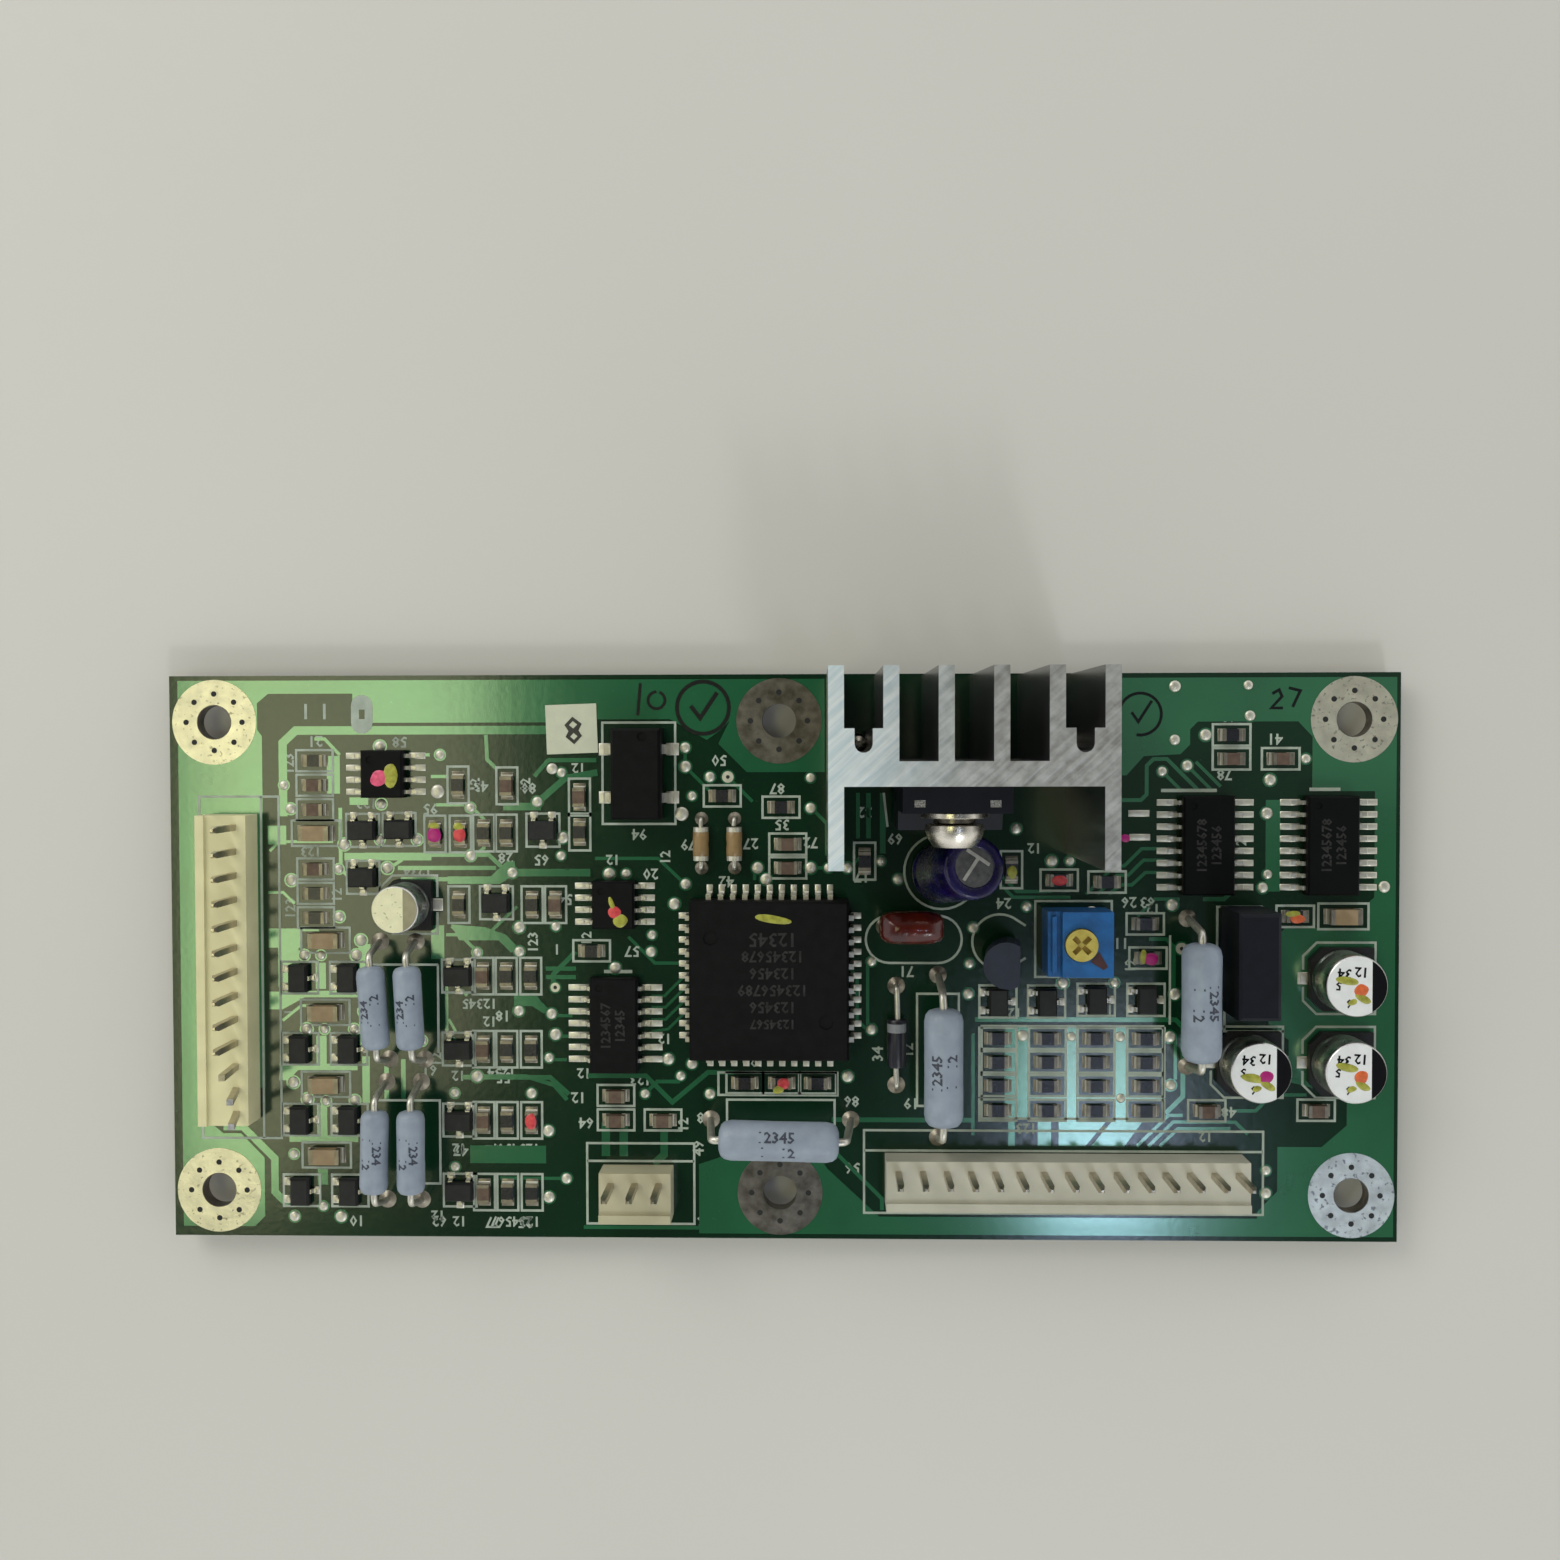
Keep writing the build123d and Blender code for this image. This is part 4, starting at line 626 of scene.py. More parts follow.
# ---- solder-filled vias, some of them open
DOTS = points("""
-52.6,18.3 -51.9,15.8 -42.3,22.4 -35.9,21.5 -42.2,16.3 -51.9,8.2 -46.8,9.4 -46.8,4.3 -44.5,1.8 -42.4,12.5
-38.4,12.5 -46.2,12 -32.7,15.9 -32.7,10.8 -41.6,9.5 -32.1,0.5 -9.9,22.2 -9.9,20.2 -9.2,17.1 -7.3,19.1
-5.4,19.1 -23,19.6 -25.6,16.5 -22.9,12.7 -23.1,10.8 -28.3,9 -18,8.9 -16.2,8.9 -9.9,7.8 -11.1,5.7 -13.5,2.4
-13.6,0.6 -27.6,3.2 -23.7,3.3 -27.6,0.6 -2.3,9.5 3.3,19 3.3,15.8 3.3,9.5 5.2,9.5 7.2,9.5 -1.4,8.3 10.7,10.2
12.5,8.3 28.6,10.2 30.5,10.2 24.9,13.6 41.4,28.5 49,28.6 41.4,22.9 44.6,23.4 55,20.9 49.2,25.4 51.3,18.7
40.1,19.6 42.7,20.2 51,15.2 51.1,8.8 50.6,7.4 63.2,7.5 -23.8,-3.2 -24.2,-6 -23.8,-8.2 -24.5,-10.7 -27.7,-5.7
-32.2,-12.7 -34.6,-14.5 -26.4,-14.5 -24.6,-18.5 -34.6,-22.4 -22.7,-23.6 -24.6,-25.6 -14.3,-14.5 -7.4,-14.5
-11.8,-10.8 -10.5,-12.6 -9.3,-11.3 -17.4,-1.1 9.7,-0.4 9.7,-7.6 7.2,-12.6 20,-0.6 19.9,-3.8 25.6,-8.2
30.7,-8.3 35.8,-8.3 41,-8.3 35.9,-14.8 41.1,-13.4 41.5,-3.8 51.1,-22.4 51.1,-24.8 -50.4,-7.7 -48.5,-7.7
-45.3,-7.7 -50.4,-15.2 -48.4,-15.4 -45.3,-15.3 -51.9,-13.4 -51.9,-21.1 -51.9,-27.8 -46.9,-27.8 -48.8,-26.7
-44.3,-5.8 -45,0.2 -48.8,0.2 -50.6,0.2 29.8,-2.6 35.2,-2.6 20.4,3.2 42.2,1 26,5.4 -38.1,-8.9 41.2,5.6""")
OPEN_DOTS = {20, 60, 110}  # places in the list
dots = Shape()
for i, (x, y) in enumerate(DOTS):
    r = 0.56 + 0.06 * ((i * 7) % 3 - 1)
    dots.ring(x, y, 0.02, r + 0.16, TOP, COPPER_Z + 0.004, "mask_copper", 16)
    if i in OPEN_DOTS:
        dots.ring(x, y, 0.2, r, COPPER_Z, COPPER_Z + 0.05, "solder", 16)
        # a dark disc in the open via stands for its hole: painted shade
        dots.round(x, y, [(0.2, COPPER_Z), (0.2, COPPER_Z + 0.012)], "dark_hole", 12)
    else:
        dots.dome(x, y, r, COPPER_Z, 0.22, "solder")
for x, y, r in ((-36.2, 17.6, 0.75), (-10.3, 15.2, 0.75), (12.2, 3.6, 0.7), (-24.0, 20.0, 0.6)):
    dots.dome(x, y, r, COPPER_Z, 0.2, "solder")

# ---- plated lands round the mounting holes
lands = Shape()
for x, y, key in LANDS:
    for z0, z1 in ((TOP, TOP + 0.07), (-0.07, 0.0)):
        lands.ring(x, y, HOLE_R, 4.5, z0, z1, key, 56)
    lands.ring(x, y, HOLE_R - 0.05, HOLE_R + 0.001, -0.07, TOP + 0.07, "land_aged", 40)
    for k in range(8):
        a = math.pi / 4 * k
        hx, hy = x + 3.0 * math.cos(a), y + 3.0 * math.sin(a)
        lands.ring(hx, hy, 0.30, 0.42, TOP + 0.06, TOP + 0.095, key, 16)
        # dark discs in the small vias, top and bottom, stand for their holes: painted shade
        lands.round(hx, hy, [(0.31, TOP + 0.06), (0.31, TOP + 0.078)], "dark_hole", 14)
        lands.round(hx, hy, [(0.31, -0.078), (0.31, -0.06)], "dark_hole", 14)

# ---- pads and solder fillets at every foot
pads = Shape()


def pillow(x0, y0, x1, y1, h, key, inset=0.12):
    """Low mound of solder on a pad."""
    pads.rings([[(x0 + i, y0 + i, z), (x1 - i, y0 + i, z), (x1 - i, y1 - i, z), (x0 + i, y1 - i, z)]
                for i, z in ((0.0, TOP), (0.02, TOP + h * 0.6), (inset, TOP + h))], key)


def fillet(b, way, axis, reach, height, spread=0.02):
    """Solder climbing the outer face of a foot."""
    low, high = b[0][1 - axis] - spread, b[1][1 - axis] + spread
    loops = []
    for d, h in ((0.0, height), (reach * 0.3, height * 0.38), (reach * 0.62, height * 0.14), (reach, 0.04)):
        at = b[1][axis] + d if way[axis] > 0 else b[0][axis] - d
        corners = ((low, TOP), (high, TOP), (high - spread, TOP + h), (low + spread, TOP + h))
        loops.append([(v, at, z) if axis else (at, v, z) for v, z in corners])
    pads.rings(loops, "solder")


def nearest(c, boxes):
    return min(boxes, key=lambda b: (middle(b)[0] - c[0]) ** 2 + (middle(b)[1] - c[1]) ** 2)


for chip, climb in (("chip_resistor", 0.42), ("chip_capacitor", 0.5), ("large_chip", 0.6)):
    homes = islands(chip + "_bodies")
    for b in islands(chip + "_ends"):
        c = middle(b)
        home = middle(nearest(c, homes))
        way = (c[0] - home[0], c[1] - home[1])
        axis = 0 if abs(way[0]) > abs(way[1]) else 1
        fillet(b, way, axis, 0.28, climb * 0.8)
        low, high = [b[0][0] - 0.04, b[0][1] - 0.04], [b[1][0] + 0.04, b[1][1] + 0.04]
        if way[axis] > 0:
            high[axis] += 0.42
        else:
            low[axis] -= 0.42
        pillow(*low, *high, 0.06, "solder_dull", 0.08)
# how far each pad reaches past its lead, and how much wider it is on each side
for leads, bodies, outer, widen in (("sixteen_pin_chip_leads", "sixteen_pin_chip_bodies", 1.15, 0.13),
                                    ("fourteen_pin_chip_leads", "fourteen_pin_chip_bodies", 1.3, 0.13),
                                    ("eight_pin_chip_leads", "eight_pin_chip_bodies", 1.0, 0.13),
                                    ("square_chip_leads", "square_chip_body", 0.85, 0.06),
                                    ("coupler_leads", "coupler_body", 0.6, 0.15),
                                    ("transistor_leads", "transistor_bodies", 0.35, 0.2)):
    homes = islands(bodies)
    for b in islands(leads):
        c = middle(b)
        home = nearest(c, homes)
        way = [c[a] - middle(home)[a] for a in (0, 1)]
        # the lead stands out of the side it overlaps least
        share = [abs(way[a]) / (home[1][a] - home[0][a]) for a in (0, 1)]
        axis = 0 if share[0] > share[1] else 1
        low, high = [v - widen for v in b[0][:2]], [v + widen for v in b[1][:2]]
        if way[axis] > 0:
            low[axis], high[axis] = b[0][axis] + 0.3, b[1][axis] + outer
        else:
            low[axis], high[axis] = b[0][axis] - outer, b[1][axis] - 0.3
        pillow(*low, *high, 0.1, "solder")
        fillet(b, way, axis, min(0.5, outer * 0.6), 0.25)
for b in islands("can_leads"):
    pillow(b[0][0] - 0.3, b[0][1] - 0.25, b[1][0] + 0.3, b[1][1] + 0.25, 0.09, "solder")
for x, y in ((37.8, 15.2), (37.9, 12.7)):
    pillow(x - 1.2, y - 0.35, x + 1.0, y + 0.35, 0.1, "solder")

# ---- solder cones of the leads through the board
THROUGH = """left_header_pins front_header_pins side_header_pins regulator_leads d_transistor_leads
          module_leads trimmer_leads small_resistor_leads large_resistor_leads tubular_leads diode_leads
          radial_leads film_capacitor_leads"""
joints = []
for name in THROUGH.split():
    for b in islands(name):
        feet = [v.co / MM for v in NODES[name].data.vertices if v.co.z / MM < -0.5 and all(
            b[0][a] - 0.01 < v.co[a] / MM < b[1][a] + 0.01 for a in (0, 1))]
        if feet:
            xs, ys = [v.x for v in feet], [v.y for v in feet]
            joints.append(((min(xs) + max(xs)) / 2, (min(ys) + max(ys)) / 2, (max(xs) - min(xs)) / 2, name))
SMALL_PADS = {"d_transistor_leads": 0.62, "tubular_leads": 0.72}
BRIGHT_JOINTS = ("regulator_leads", "module_leads", "trimmer_leads")
wired = Shape()
for x, y, r, name in joints:
    pad = SMALL_PADS.get(name, 0.95)
    wired.ring(x, y, 0.02, pad + 0.12, LOW_Z, 0.0, "mask_copper", 16)
    cone = [(r * 1.15, -1.12), (r * 1.35, -0.85), (r * 1.9, -0.45), (pad * 0.9, -0.12), (pad, -0.02)]
    wired.round(x, y, cone, "solder", 16)
    if "header" not in name:
        wired.round(x, y, [(pad, TOP), (pad * 0.9, TOP + 0.09), (r * 1.5, TOP + 0.22), (r * 1.1, TOP + 0.4)],
                    "solder" if name in BRIGHT_JOINTS else "solder_dull", 16)

# ---- underside: ground areas, tracks, vias
under = Shape()
clear = [(*middle(b)[:2], 2.9) for b in islands("heat_sink_screws")]
clear += [(x, y, HOLE_R + 0.4) for x, y, key in LANDS]
for x, y, r in [(x, y, 1.16) for x, y, size, name in joints] + [(x, y, 0.98) for x, y in DOTS]:
    if all(math.hypot(x - a, y - b) > r + c + 0.08 for a, b, c in clear):
        clear.append((x, y, r))
for x0, y0, x1, y1 in ((-63.9, -28.9, -44.6, 28.9), (-40.4, -28.9, -5.2, -1.5), (-40.4, 1.5, -5.2, 28.9),
                       (-4.4, -28.9, 23.0, -1.5), (-4.4, 1.5, 23.0, 28.9), (26.6, -28.9, 63.9, -1.5),
                       (26.6, 1.5, 63.9, 28.9)):
    border = [(x0 + 1, y0), (x1 - 1, y0), (x1, y0 + 1), (x1, y1 - 1), (x1 - 1, y1), (x0 + 1, y1),
              (x0, y1 - 1), (x0, y0 + 1)]
    inside = [(x, y, r) for x, y, r in clear
              if x0 + r + 0.2 < x < x1 - r - 0.2 and y0 + r + 0.2 < y < y1 - r - 0.2]
    under.plate(border, inside, LOW_Z, 0.0, "mask_copper")
for k in range(3):
    across, up = -43.6 + 1.1 * k, -0.9 + 0.9 * k
    under.line([(across, 27.6 - 3 * k), (across, -26.0 + 2 * k)], 0.45, LOW_Z + 0.006, 0.0, "mask_copper")
    across = 23.9 + 0.9 * k
    under.line([(across, 26.0 - 5 * k), (across, -25.0 + 3 * k)], 0.4, LOW_Z + 0.006, 0.0, "mask_copper")
    under.line([(-39.0 + 3 * k, up), (21.0 - 4 * k, up)], 0.4, LOW_Z + 0.008, 0.0, "mask_copper")
    under.line([(27.8 + 2 * k, up), (62.0 - 5 * k, up)], 0.4, LOW_Z + 0.008, 0.0, "mask_copper")
for i, (x, y) in enumerate(DOTS):
    r = 0.5 + 0.05 * ((i * 7) % 3 - 1)
    under.round(x, y, [(r * 0.35, LOW_Z - 0.15), (r * 0.8, LOW_Z - 0.10), (r, LOW_Z), (r, LOW_Z + 0.03)],
                "solder", 14)

# ---- screws of the heat sink, from below
screws = Shape()
for b in islands("heat_sink_screws"):
    x, y, z = middle(b)
    tip = b[1][2]
    shank = [(0.60, -0.05)]
    for k in range(int((tip - 0.5) / 0.4)):
        shank += [(0.64, 0.4 * k + 0.02), (0.77, 0.4 * k + 0.2)]
    screws.round(x, y, shank + [(0.60, tip - 0.35), (0.30, tip)], "zinc", 28)
    head = [(2.15, 0.0), (2.3, 0.12), (2.3, 0.45), (2.15, 0.95), (1.85, 1.30), (1.5, 1.5)]
    screws.socket_head(axis_matrix((x, y, 0.0), (0, 0, -1)), head, 1.2, 0.28, 0.75, "zinc")

# ---- printed legend
silk = Shape()
LINE, HEAVY = 0.24, 0.35


def stroke(path, width=LINE, closed=False):
    silk.line(path, width, TOP, SILK_Z, "silk", closed)


def outline(x0, y0, x1, y1):
    stroke(corners_of(x0, y0, x1, y1), closed=True)


def outline_round(b, hx, hy):
    x, y, z = middle(b)
    outline(x - hx, y - hy, x + hx, y + hy)


for name, hx, hy in (("chip_resistor_bodies", 1.95, 1.12), ("chip_capacitor_bodies", 1.95, 1.12),
                     ("large_chip_bodies", 2.6, 1.35)):
    for b in islands(name):
        sideways = b[1][0] - b[0][0] > b[1][1] - b[0][1] + 0.02
        outline_round(b, *((hx, hy) if sideways or name == "large_chip_bodies" else (hy, hx)))
for b in islands("transistor_bodies"):
    wide = b[1][0] - b[0][0] > b[1][1] - b[0][1]
    outline_round(b, *((1.75, 1.75) if wide else (1.95, 1.7)))
low, high = box_mm("coupler_body")
outline(low[0] - 1.25, low[1] - 0.6, high[0] + 1.25, high[1] + 0.6)
# headers, chip rows and other groups: left, front, right and back edge of each frame, then open lines
for row in """-61.7,-19.4,-53.2,17.1 8.9,-27.1,50.8,-18.3 -20.5,-28.4,-9.1,-19.8 -6.5,-14.6,6.1,-12.2
           14.5,-15.7,18.9,-3.8 21.3,-17,40.3,-7.2 26.9,-2,34.9,6""".split():
    outline(*numbers(row, ","))
for path in """-55.1,-19.4 -55.1,17.1; 8.9,-20.45 50.8,-20.45; -20.5,-21.7 -9.1,-21.7; -36.3,-0.8 -36.3,-10.2;
            -5.6,-19.2 -5.6,-15.1 5.8,-15.1 5.8,-19.2; 50.6,5.4 45.9,5.4 45.9,-4.6; 11,17.4 11.4,13.8;
            46.7,5.4 46.7,-7.7 52.9,-7.7; -43.2,-15.3 -36.2,-15.3 -36.2,-24.2 -38,-24.2;
            -43.4,-0.8 -36.3,-0.8; 41,2.4 41,-7""".split(";"):
    stroke(points(path))
for path in "40,17.6 45.8,17.6; 55.4,17.7 58.6,17.7; -18.6,-1.5 -15.6,-1.5".split(";"):
    stroke(points(path), HEAVY)
# radial capacitor, film capacitor and D-shaped transistor
stroke(arc(17.1, 9.1, 3.95, 0, 345, 32), closed=True)
stroke(arc(11.6, 1.95, 2.5, 90, 270) + arc(16.7, 1.95, 2.5, -90, 90) + [(11.6, 4.45)])
stroke([(25.9, 3.4)] + arc(23.2, 1.7, 2.9, 62, 298, 24) + [(25.9, 0.0)])
for b in islands("can_bases"):
    x, y, z = middle(b)
    half, cut = (b[1][0] - b[0][0]) / 2 + 0.45, 1.4
    for s in (1, -1):
        stroke([(x + half, y + s * 0.8), (x + half, y + s * half), (x - half + cut, y + s * half),
                (x - half, y + s * (half - cut)), (x - half, y + s * 0.9)])
silk.prism(arc(-44.2, 26.7, 1.15, 0, 180, 8) + arc(-44.2, 24.9, 1.15, 180, 360, 8), TOP, SILK_Z, "silk")
silk.block(-44.5, 25.3, -43.9, 26.3, SILK_Z, SILK_Z + 0.01, "mask")

# ---- small plain numerals beside the parts
NUMERALS = points("""
-49.2,23 -40.2,22.9 -37,15.8 -31.6,18.2 -26.5,18 -29,10.6 -25.2,10.4 -22.3,22.6 -6.3,20.9 -0.2,17.9 0.3,14.1
3.3,12.2 -13.6,8.9 -15.6,0.7 -14.8,13.1 -5.6,8.1 -9.6,12 -3,12.1 -20.6,-17.6 -21.4,-14.9 -8.6,-20.3
7.6,-15.2 10.4,-10.2 13.4,-1.4 13.9,-15.4 7.7,-22.3 46.9,25.4 51.8,23 46.6,19.3 36.7,5.9 38.6,5.9 35.9,1.6
47.2,-16.2 60.5,-16.4 60.4,-7 59.5,2.4 -29.4,-6.2 -29.4,-12.8 -30.6,-20.6 -27.2,-20.6 -30.6,-28.3
-27.2,-28.3 -36.4,-28.2 -45.2,-28.2 -34,-20.6 -57.6,19.3 9,15.4 12.2,12.6 8.7,8.6 -22.7,6.2 54,1.2 54,-1.8
54,-4.4 23.6,5.8 -37.3,-12 -8,-17 -8,-28""")
# counting digits along the groups of chips: x, y, how many, quarter turns
ROWS = """
-31.9,-4.9,5,2 -29.6,-12.3,4,2 -28.2,-20.4,7,2 -28.2,-28.2,7,2 -34.2,-12.6,2,2 -34.2,-20.4,2,2
-34.2,-28.2,2,2 -36.5,-10.9,2,1 -36.5,-27.6,2,2 -52,20.6,3,1 -52,5.2,3,1 -47,6.6,2,1 -43.8,16.4,3,2
-49.8,11.3,3,2 -32.2,18.3,2,1 -26.8,18.3,2,1 -38.4,9.2,4,2 -30.8,-6.8,2,2 -51.9,1.8,2,1 -21.2,20.1,2,2
-20.8,-12.3,2,2 -26.1,1.6,3,1 -23.6,0.9,1,2 -52.2,-5.9,1,1 -52.4,-24,1,1 -5.6,-20.4,2,2 2.6,-20.2,2,2
-10.2,-17.8,2,1 -14.8,-13,3,2 8,-4.2,2,1 13.6,-9.8,2,1 25.6,-18,4,2 35.2,-18,4,2 44.8,-18.8,2,2 44,-10.2,2,1
45,-2.2,2,1 36.9,-0.8,2,1 24,-5.8,4,2 33.6,-5.4,4,2 56.8,-16.2,2,2 57.6,9.4,2,1 57.6,13,2,1 48.4,11.8,2,1
44.6,15.4,2,2 39.2,5.2,2,2 33.8,12.2,2,1 26.8,11.6,2,2 20.8,12.8,2,1 -17.6,10.4,2,2 -12,10.6,2,1 -20.4,2,2,1
-12.2,-8.6,2,2 4.6,-9.4,2,1 -2.4,-11,2,2"""
COUNT = "123456789"
marks = Shape()
for i, (x, y) in enumerate(NUMERALS):
    marks.digits(str((i * 37 + 11) % 89 + 10), x, y, 1.2, 90 if i in (20, 22) else 180, TOP, "silk")
for x, y, count, quarter in (numbers(row, ",") for row in ROWS.split()):
    marks.digits(COUNT[:int(count)], x, y, 1.12, 90 * quarter, TOP, "silk")
for x in (-50.2, -48.2):
    marks.digits("1", x, 26.2, 1.7, 180, TOP, "silk")

# marker pen: two rings, each with a tick, and plain digits
pen = Shape()
pen.line(arc(-8.0, 26.4, 2.75, 0, 345, 30), 0.42, COPPER_Z, PEN_Z, "ink", closed=True)
for width, path in ((0.45, points("-9.3,26.6 -8.3,25.3 -6.5,28")), (0.32, arc(-12.9, 27.2, 0.9, 90, 430, 16)),
                    (0.34, points("-14.6,29 -14.9,25.6")), (0.3, arc(37.8, 25.6, 2.2, -100, 160, 20)),
                    (0.3, points("36.9,25.8 37.6,24.8 39,27")), (0.3, points("53.2,28.3 54.4,28 53.6,26.3")),
                    (0.3, points("51.5,27.7 52.2,28.1 52.5,27.4 51.4,26.2 52.6,26.2"))):
    pen.line(path, width, COPPER_Z, PEN_Z, "ink")

# counting digits where the chips and the sticker carry print
chip_marks = Shape()
low, high = box_mm("square_chip_body")
x, y = (low[0] + high[0]) / 2 + 0.4, (low[1] + high[1]) / 2 + 4.4
for row, (count, size) in enumerate(((5, 1.5), (8, 1.2), (6, 1.2), (9, 1.2), (6, 1.2), (7, 1.0))):
    chip_marks.digits(COUNT[:count], x, y - 1.75 * row, size, 180, high[2], "faint_print")
for name, count in (("fourteen_pin_chip_bodies", 7), ("sixteen_pin_chip_bodies", 8)):
    for b in islands(name):
        x, y, z = middle(b)
        for text, dx in ((COUNT[:count], -0.75), (COUNT[:count - 2], 0.75)):
            chip_marks.digits(text, x + dx, y, 1.05, 90, b[1][2], "faint_print")
for b in islands("label_sticker"):
    x, y, z = middle(b)
    chip_marks.digits("8", x + 0.2, y, 3.0, 184, b[1][2], "label_ink")

chip_marks.make("faint_digits", "chip_moulding")
copper.make("tracks_and_pours", "solder_mask")
dots.make("solder_dots", "tinned_lead", smooth=50)
lands.make("mounting_lands", "tinned_lead", smooth=40)
pads.make("solder_pads", "tinned_lead", smooth=50)
wired.make("solder_joints", "tinned_lead", smooth=60)
under.make("underside_copper", "solder_mask", smooth=40)
screws.make("sink_screw_details", "zinc_steel", smooth=40, replaces=("heat_sink_screws",))
silk.make("printed_legend", "white_paper")
marks.make("printed_numerals", "white_paper")
pen.make("marker_marks", "solder_mask")


# ---- rounded bodies over their prisms
def mean(vectors):
    return sum(vectors, Vector()) / len(vectors)


def lead_ends(name):
    """(top point near the body, hole point) of every bent wire of a node."""
    out = []
    for b in islands(name):
        inside = [v.co / MM for v in NODES[name].data.vertices
                  if all(b[0][a] - 0.005 < v.co[a] / MM < b[1][a] + 0.005 for a in range(3))]
        foot = mean([v for v in inside if v.z < b[0][2] + 0.01])
        top = [v for v in inside if v.z > b[1][2] - 0.9]
        far = max(top, key=lambda v: (v.xy - foot.xy).length)
        out.append((mean([v for v in top if (v - far).length < 0.75]), foot))
    return out


coated = []


def rods(bodies, leads, width, wire, bend, name):
    """Smooth dipped bodies and round bent wires in the places of the plain ones."""
    skin, wires = Shape(), Shape()
    ends, r = lead_ends(leads), width / 2
    for b in islands(bodies):
        c = Vector(middle(b))
        feet, starts = [], []
        for top, foot in sorted(ends, key=lambda e: (e[0].xy - c.xy).length)[:2]:
            feet.append(foot)
            starts.append(Vector((top.x, top.y, c.z)))
        centre, along = (starts[0] + starts[1]) / 2, starts[0] - starts[1]
        half = along.length / 2
        rise = [(0.22 * r, -half - 0.02), (0.5 * r, -half), (0.78 * r, -half + 0.10 * r),
                (0.93 * r, -half + 0.3 * r), (r, -half + 0.62 * r)]
        fall = [(radius, -height) for radius, height in rise[::-1]]
        skin.skin(axis_matrix(centre, along), rise + [(0.985 * r, 0)] + fall, "coating", 32)
        coated.append((centre, along.normalized(), r))
        for start, foot in zip(starts, feet):
            inner = start + (centre - start).normalized() * 0.6
            knee = start + (Vector((foot.x, foot.y, c.z)) - start) * 0.55
            wires.tube([inner, knee, Vector((foot.x, foot.y, TOP + 0.6)), foot], wire / 2, "lead", bend=bend)
    skin.make(name + "_coatings", "blue_grey_coating", smooth=70, replaces=(bodies,))
    wires.make(name + "_wires", "tinned_lead", smooth=70, replaces=(leads,))


rods("small_resistor_bodies", "small_resistor_leads", 2.9, 0.7, 0.9, "small_resistor")
rods("large_resistor_bodies", "large_resistor_leads", 4.0, 0.8, 1.0, "large_resistor")


def wrapped(centre, axis, r, u, v):
    """Bends flat digits round a coating, `u` mm along it and `v` radians off its top."""
    side = UP.cross(axis)

    def place(x, y, z):
        t = y / r + v
        return tuple(centre + axis * (x + u) + (side * math.sin(t) + UP * math.cos(t)) * (r * 0.995 + z))
    return place


prints = Shape()
for centre, axis, r in coated:
    longest, size = (5, 1.15) if r > 1.6 else (4, 0.95)
    for count, v, u in ((longest, 0.40, -0.3), (2, -0.42, 0.9), (1, -0.38, -1.6)):
        prints.digits(COUNT[:count], 0, 0, size, 0, 0, "coating_print", wrapped(centre, axis, r, u, v))
prints.make("coating_print_marks", "blue_grey_coating")

# ---- can capacitors
cans, tops = Shape(), Shape()
for b in islands("can_shells"):
    x, y, z = middle(b)
    r, z0, z1 = (b[1][0] - b[0][0]) / 2, b[0][2], b[1][2]
    cans.round(x, y, [(r * 0.5, z0), (r, z0 + 0.02), (r, z0 + 0.45), (r - 0.14, z0 + 0.62),
                      (r - 0.16, z0 + 0.74), (r, z0 + 0.95), (r, z1 - 0.32), (r - 0.08, z1 - 0.12),
                      (r - 0.26, z1 - 0.015), (r - 0.4, z1 - 0.01), (r * 0.4, z1 - 0.01)], "can", 48)
    # painted face, and the darker part of it beyond a chord
    small = r < 2.8
    face, beyond, chord = ("can_top_cream", "can_bare_tan", 0.37) if small else ("can_top", "can_print", 0.50)
    edge = math.degrees(math.acos(chord))
    tops.prism(arc(x, y, r - 0.16, edge, 360 - edge, 36), z1 - 0.012, z1, face)
    tops.prism(arc(x, y, r - 0.16, -edge, edge, 18), z1 - 0.012, z1, beyond)
    if not small:
        for text, dx, dy, tall in (("34", -1.3, 1.35, 1.05), ("12", 0.4, 1.5, 1.05), ("5", -1.9, 0.1, 0.9),
                                   ("6", -0.8, -1.7, 0.9)):
            tops.digits(text, x + dx, y + dy, tall, 176, z1, "can_print")
cans.make("can_bodies", "can_aluminium", smooth=40, replaces=("can_shells",))
tops.make("can_tops", "can_aluminium")

# ---- leaning radial capacitor, sleeve and vented top
corners = [v.co / MM for v in NODES["radial_body"].data.vertices]
# a first guess of its axis parts the corners; the middles of its two ends give the true one
lean, nod = math.radians(12.0), math.radians(7.0)
axis = Vector((math.sin(lean), math.cos(lean) * math.sin(nod), math.cos(lean) * math.cos(nod)))
centre = mean(corners)
foot, head = (mean([v for v in corners if side * (v - centre).dot(axis) > 0]) for side in (-1, 1))
tall = (head - foot).length
place = axis_matrix(foot, head - foot)
upright = Matrix.Rotation(-place.to_euler().z, 4, "Z")
SLEEVE_R = 3.13
radial = Shape()
radial.skin(place, [(1.2, 0.0), (2.6, 0.0), (3.0, 0.12), (SLEEVE_R, 0.4), (SLEEVE_R, 1.0), (2.95, 1.25),
                    (2.95, 1.45), (SLEEVE_R, 1.75), (SLEEVE_R, tall - 0.45), (3.05, tall - 0.15),
                    (2.8, tall - 0.02), (2.1, tall), (1.98, tall - 0.06), (1.95, tall - 0.14),
                    (0.8, tall - 0.14)], "sleeve", 48)
radial.skin(place, [(2.0, tall - 0.3), (1.97, tall - 0.09), (0.5, tall - 0.08)], "can_bare", 40)
